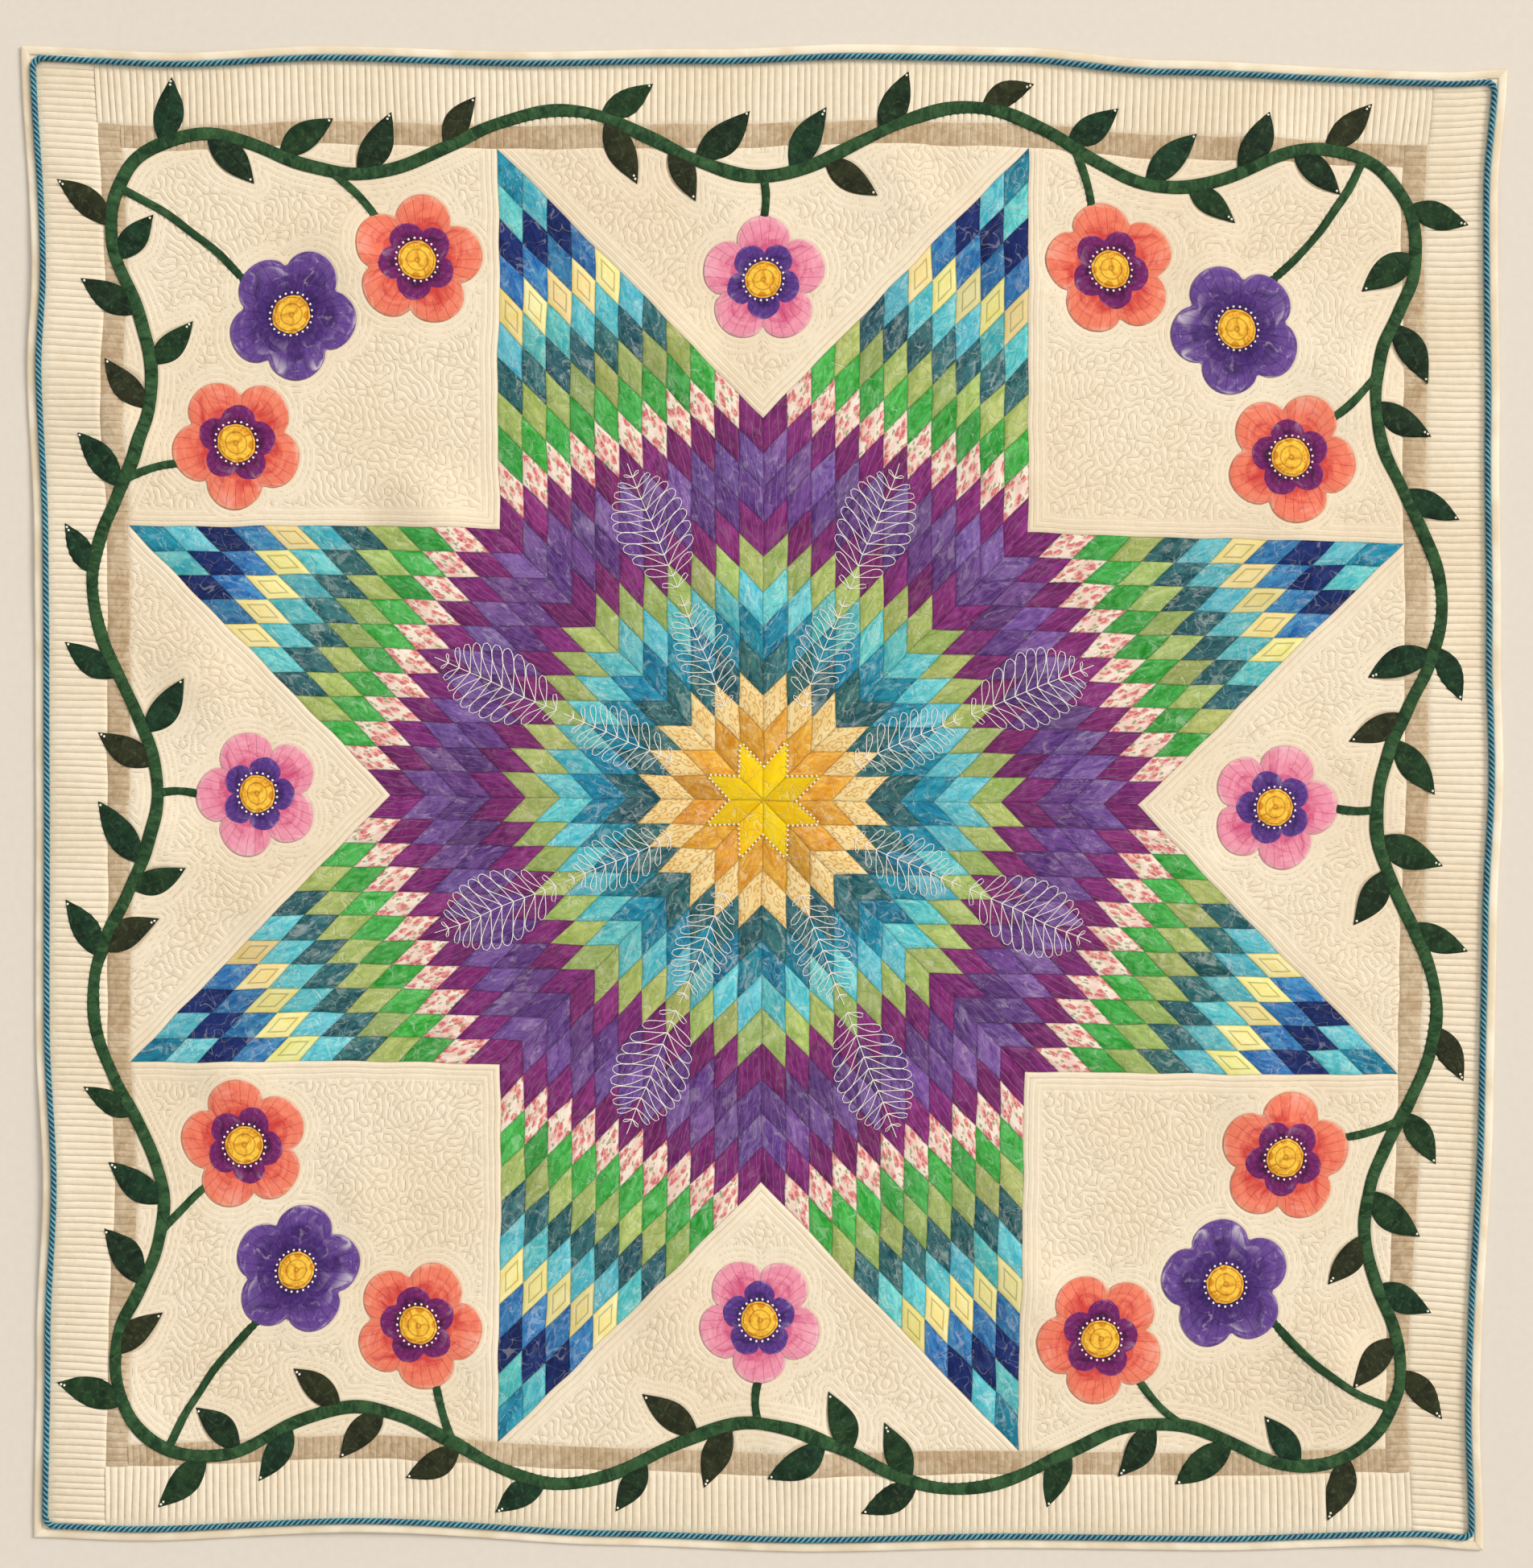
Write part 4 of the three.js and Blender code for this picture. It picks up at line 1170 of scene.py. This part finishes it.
def clear_of(x, y):
    """How far ground points lie outside the nearest flower, leaf or stem."""
    clear = np.full_like(x, 1e3)
    for side in range(len(SIDES)):
        back = on_side(rows(x, y, 0), -side)[:, :2]
        for flower in FLOWERS:
            off = back - flower[:2]
            turn = np.arctan2(off[:, 1], off[:, 0])
            clear = np.minimum(clear, np.hypot(*off.T) - petal_reach(flower, turn))
        for index in range(len(LEAVES)):
            foot, way, length = leaf_line(index, side)
            along, aside = (back - foot) @ way, np.abs((back - foot) @ (-way[1], way[0]))
            share = np.clip(along / length, 0, 1)
            past = np.abs(along - share * length)
            half = LEAF_WIDTH / 2 * length * np.sin(math.pi * share**0.85)
            clear = np.minimum(clear, np.hypot(np.maximum(aside - half, 0), past))
        near = np.abs(back).max(1) > FIELD_HALF - 220
        stem = vine_spot(np.linspace(-QUARTER, QUARTER, 300))
        if near.any():
            gaps = [np.hypot(*(back[near] - spot).T) for spot in stem]
            clear[near] = np.minimum(clear[near], np.min(gaps, axis=0) - STEM_WIDTH / 2)
    return clear


def ground_patch(name, side, spot, half=False):
    """One patch of the ground, low along its quilting. spot() gives its points, flat."""
    drawing = Drawing()
    relief = {}

    def shape(u, v):
        flat = on_side(spot(u, v), side)
        x, y = flat[:, 0], flat[:, 1]
        seams = np.minimum(u, v) * STAR_EDGE
        clear = np.minimum(clear_of(x, y), seams)
        lines = np.abs(np.sin(math.pi * np.maximum(clear, 0) / ECHO_PITCH)) ** 0.8
        free = np.clip((clear - ECHO_REACH) / 4, 0, 1)
        relief["stands"] = lines + (meander(x, y) - lines) * free
        sewn = np.minimum(seams, FIELD_HALF - np.abs(flat[:, :2]).max(1))
        fall = np.clip(sewn / SEAM_FALL, 0, 1) ** 0.5
        flat[:, 2] = SEAM_TOP + (PUFF_TOP - SEAM_TOP) * (0.2 + 0.75 * relief["stands"]) * fall
        return flat

    drawing.add(GROUND_CELLS, GROUND_CELLS, shape, half=half,
                place=lambda u, v: np.column_stack((relief["stands"], v)))
    return drawing.sew(name, [GROUND], weld=0.001)


def piece_ground():
    pieces = []
    deep = STAR_EDGE * math.sqrt(0.5)  # depth of a side triangle

    def square(u, v):
        return rows(deep + u * STAR_EDGE, deep + v * STAR_EDGE, 0)

    def triangle(u, v):
        return rows((u - v) * deep, STAR_EDGE + (u + v) * deep, 0)

    for side, name in enumerate(SIDES):
        pieces.append(ground_patch(f"ground_corner_{side + 1}", side, square))
        pieces.append(ground_patch(f"ground_side_{name}", side, triangle, half=True))
    return pieces


# Beads

BEAD = 1.9  # radius


def sew_beads():
    drawing = Drawing()
    for side in range(len(SIDES)):
        for index in range(len(LEAVES)):
            foot, way, length = leaf_line(index, side)
            tips = np.array([foot + way * (length - back) for back in ((7, 12) if index % 3 == 0 else (7,))])
            for x, y, _ in on_side(rows(tips[:, 0], tips[:, 1], 0), side):
                drawing.ball(x, y, 7.2, BEAD)
        for x0, y0, _, _, size, _ in FLOWERS:
            turns = np.linspace(0, 2 * math.pi, 22, endpoint=False)
            reach = CENTRE_RADIUS * size + 2
            ring = rows(x0 + np.cos(turns) * reach, y0 + np.sin(turns) * reach, 0)
            for x, y, _ in on_side(ring, side):
                drawing.ball(x, y, 9.0, BEAD)
    for point in range(STAR_POINTS):
        first, second = star_frame(point)
        for share in np.arange(0, 1, 1 / 7):
            for spot in (first * SMALL + second * SMALL * share, second * SMALL + first * SMALL * share):
                drawing.ball(*spot, SEAM_TOP + 1.8, BEAD)
    return drawing.sew("pearl_beads", [glass_pearl("white_pearl")], weld=0.002)


# White feathers quilted down the star's points

PLUMES = ((146, 316, 10, 40), (328, 520, 11, 54))  # from, to, lobes, widest
THREAD = 0.6  # radius


def plume_lines(point):
    """The lines of a star point's feathers: a spine, and a lobe on either side at each step."""
    turn = (point + 0.5) * 2 * math.pi / STAR_POINTS
    way, out = np.array((math.cos(turn), math.sin(turn))), np.array((-math.sin(turn), math.cos(turn)))
    for start, end, lobes, widest in PLUMES:
        yield np.outer(np.linspace(start, end, 60), way)
        for number, run in enumerate(np.linspace(start, end - 0.4 * widest, lobes)):
            wide = widest * math.sin(math.pi * ((number + 0.5) / lobes) ** 0.8) ** 0.7
            loop = np.linspace(0, 2 * math.pi, 22)
            full, half = (1 - np.cos(loop)) / 2, np.sin(loop) * (1 - np.cos(loop)) / 2
            ahead, aside = run + wide * (0.62 * full + 0.16 * half), wide * (full - 0.19 * half)
            for hand in (1, -1):
                yield np.outer(ahead, way) + np.outer(aside * hand, out)


def stitch_feathers():
    drawing = Drawing()
    for point in range(STAR_POINTS):
        for line in plume_lines(point):
            run = run_of(line)

            def shape(u, v):
                at = v * run[-1]
                spot = along_line(line, run, at)
                near = along_line(line, run, at + 1) - along_line(line, run, at - 1)
                near /= np.hypot(*near.T)[:, None] + 1e-9
                turn = 2 * math.pi * u
                aside = THREAD * np.cos(turn)
                height = star_height(point, spot) + 0.35 + THREAD * np.sin(turn)
                return rows(spot[:, 0] + near[:, 1] * aside, spot[:, 1] - near[:, 0] * aside, height)

            steps = max(8, round(run[-1] / 6))
            drawing.add(4, steps, shape, lambda u, v: np.column_stack((u * 0.005, v * run[-1] * MM)))
    return drawing.sew("feather_quilting", [quilting_thread("white_thread")], weld=0.001)


# The studio


def set_studio():
    scene = bpy.context.scene
    bm = bmesh.new()
    bmesh.ops.create_grid(bm, x_segments=1, y_segments=1, size=6, matrix=Matrix.Translation((0, 0, -0.0006)))
    mesh = bpy.data.meshes.new("floor")
    bm.to_mesh(mesh)
    bm.free()
    mesh.materials.append(pale_floor("pale_floor").material)
    floor = bpy.data.objects.new("floor", mesh)
    scene.collection.objects.link(floor)

    lens = bpy.data.cameras.new("camera")
    lens.lens, lens.sensor_width = 50, 36
    camera = bpy.data.objects.new("camera", lens)
    camera.location = (0.0036, 0.0205, max(PHOTO) * PIXEL * MM * lens.lens / lens.sensor_width)
    scene.collection.objects.link(camera)
    scene.camera = camera

    for name, kind, spot, size, power, tint in (
        ("key", "SUN", (3.4, 2.2, 2.8), 0.4, 2.2, (1, 0.94, 0.86)),
        ("fill", "AREA", (0.9, 0.9, 3.6), 3.0, 26, (1, 0.88, 0.7)),
    ):
        lamp = bpy.data.lights.new(name, kind)
        if kind == "SUN":
            lamp.angle = size
        else:
            lamp.size = size
        lamp.energy, lamp.color = power, tint
        light = bpy.data.objects.new(name, lamp)
        light.location = spot
        light.rotation_euler = (-Vector(spot)).to_track_quat("-Z", "Y").to_euler()
        scene.collection.objects.link(light)

    world = bpy.data.worlds.new("studio")
    world.use_nodes = True
    world.node_tree.nodes["Background"].inputs["Color"].default_value = (1, 0.97, 0.93, 1)
    world.node_tree.nodes["Background"].inputs["Strength"].default_value = 0.63
    scene.world = world
    scene.view_settings.view_transform = "Standard"


set_studio()
layers = layer_body()
sewn = [
    piece_star(), *piece_ground(), *piece_frame(), *bind_edges(), lay_cord(),
    *sew_vines(), *sew_flowers(), sew_beads(), stitch_feathers(),
]
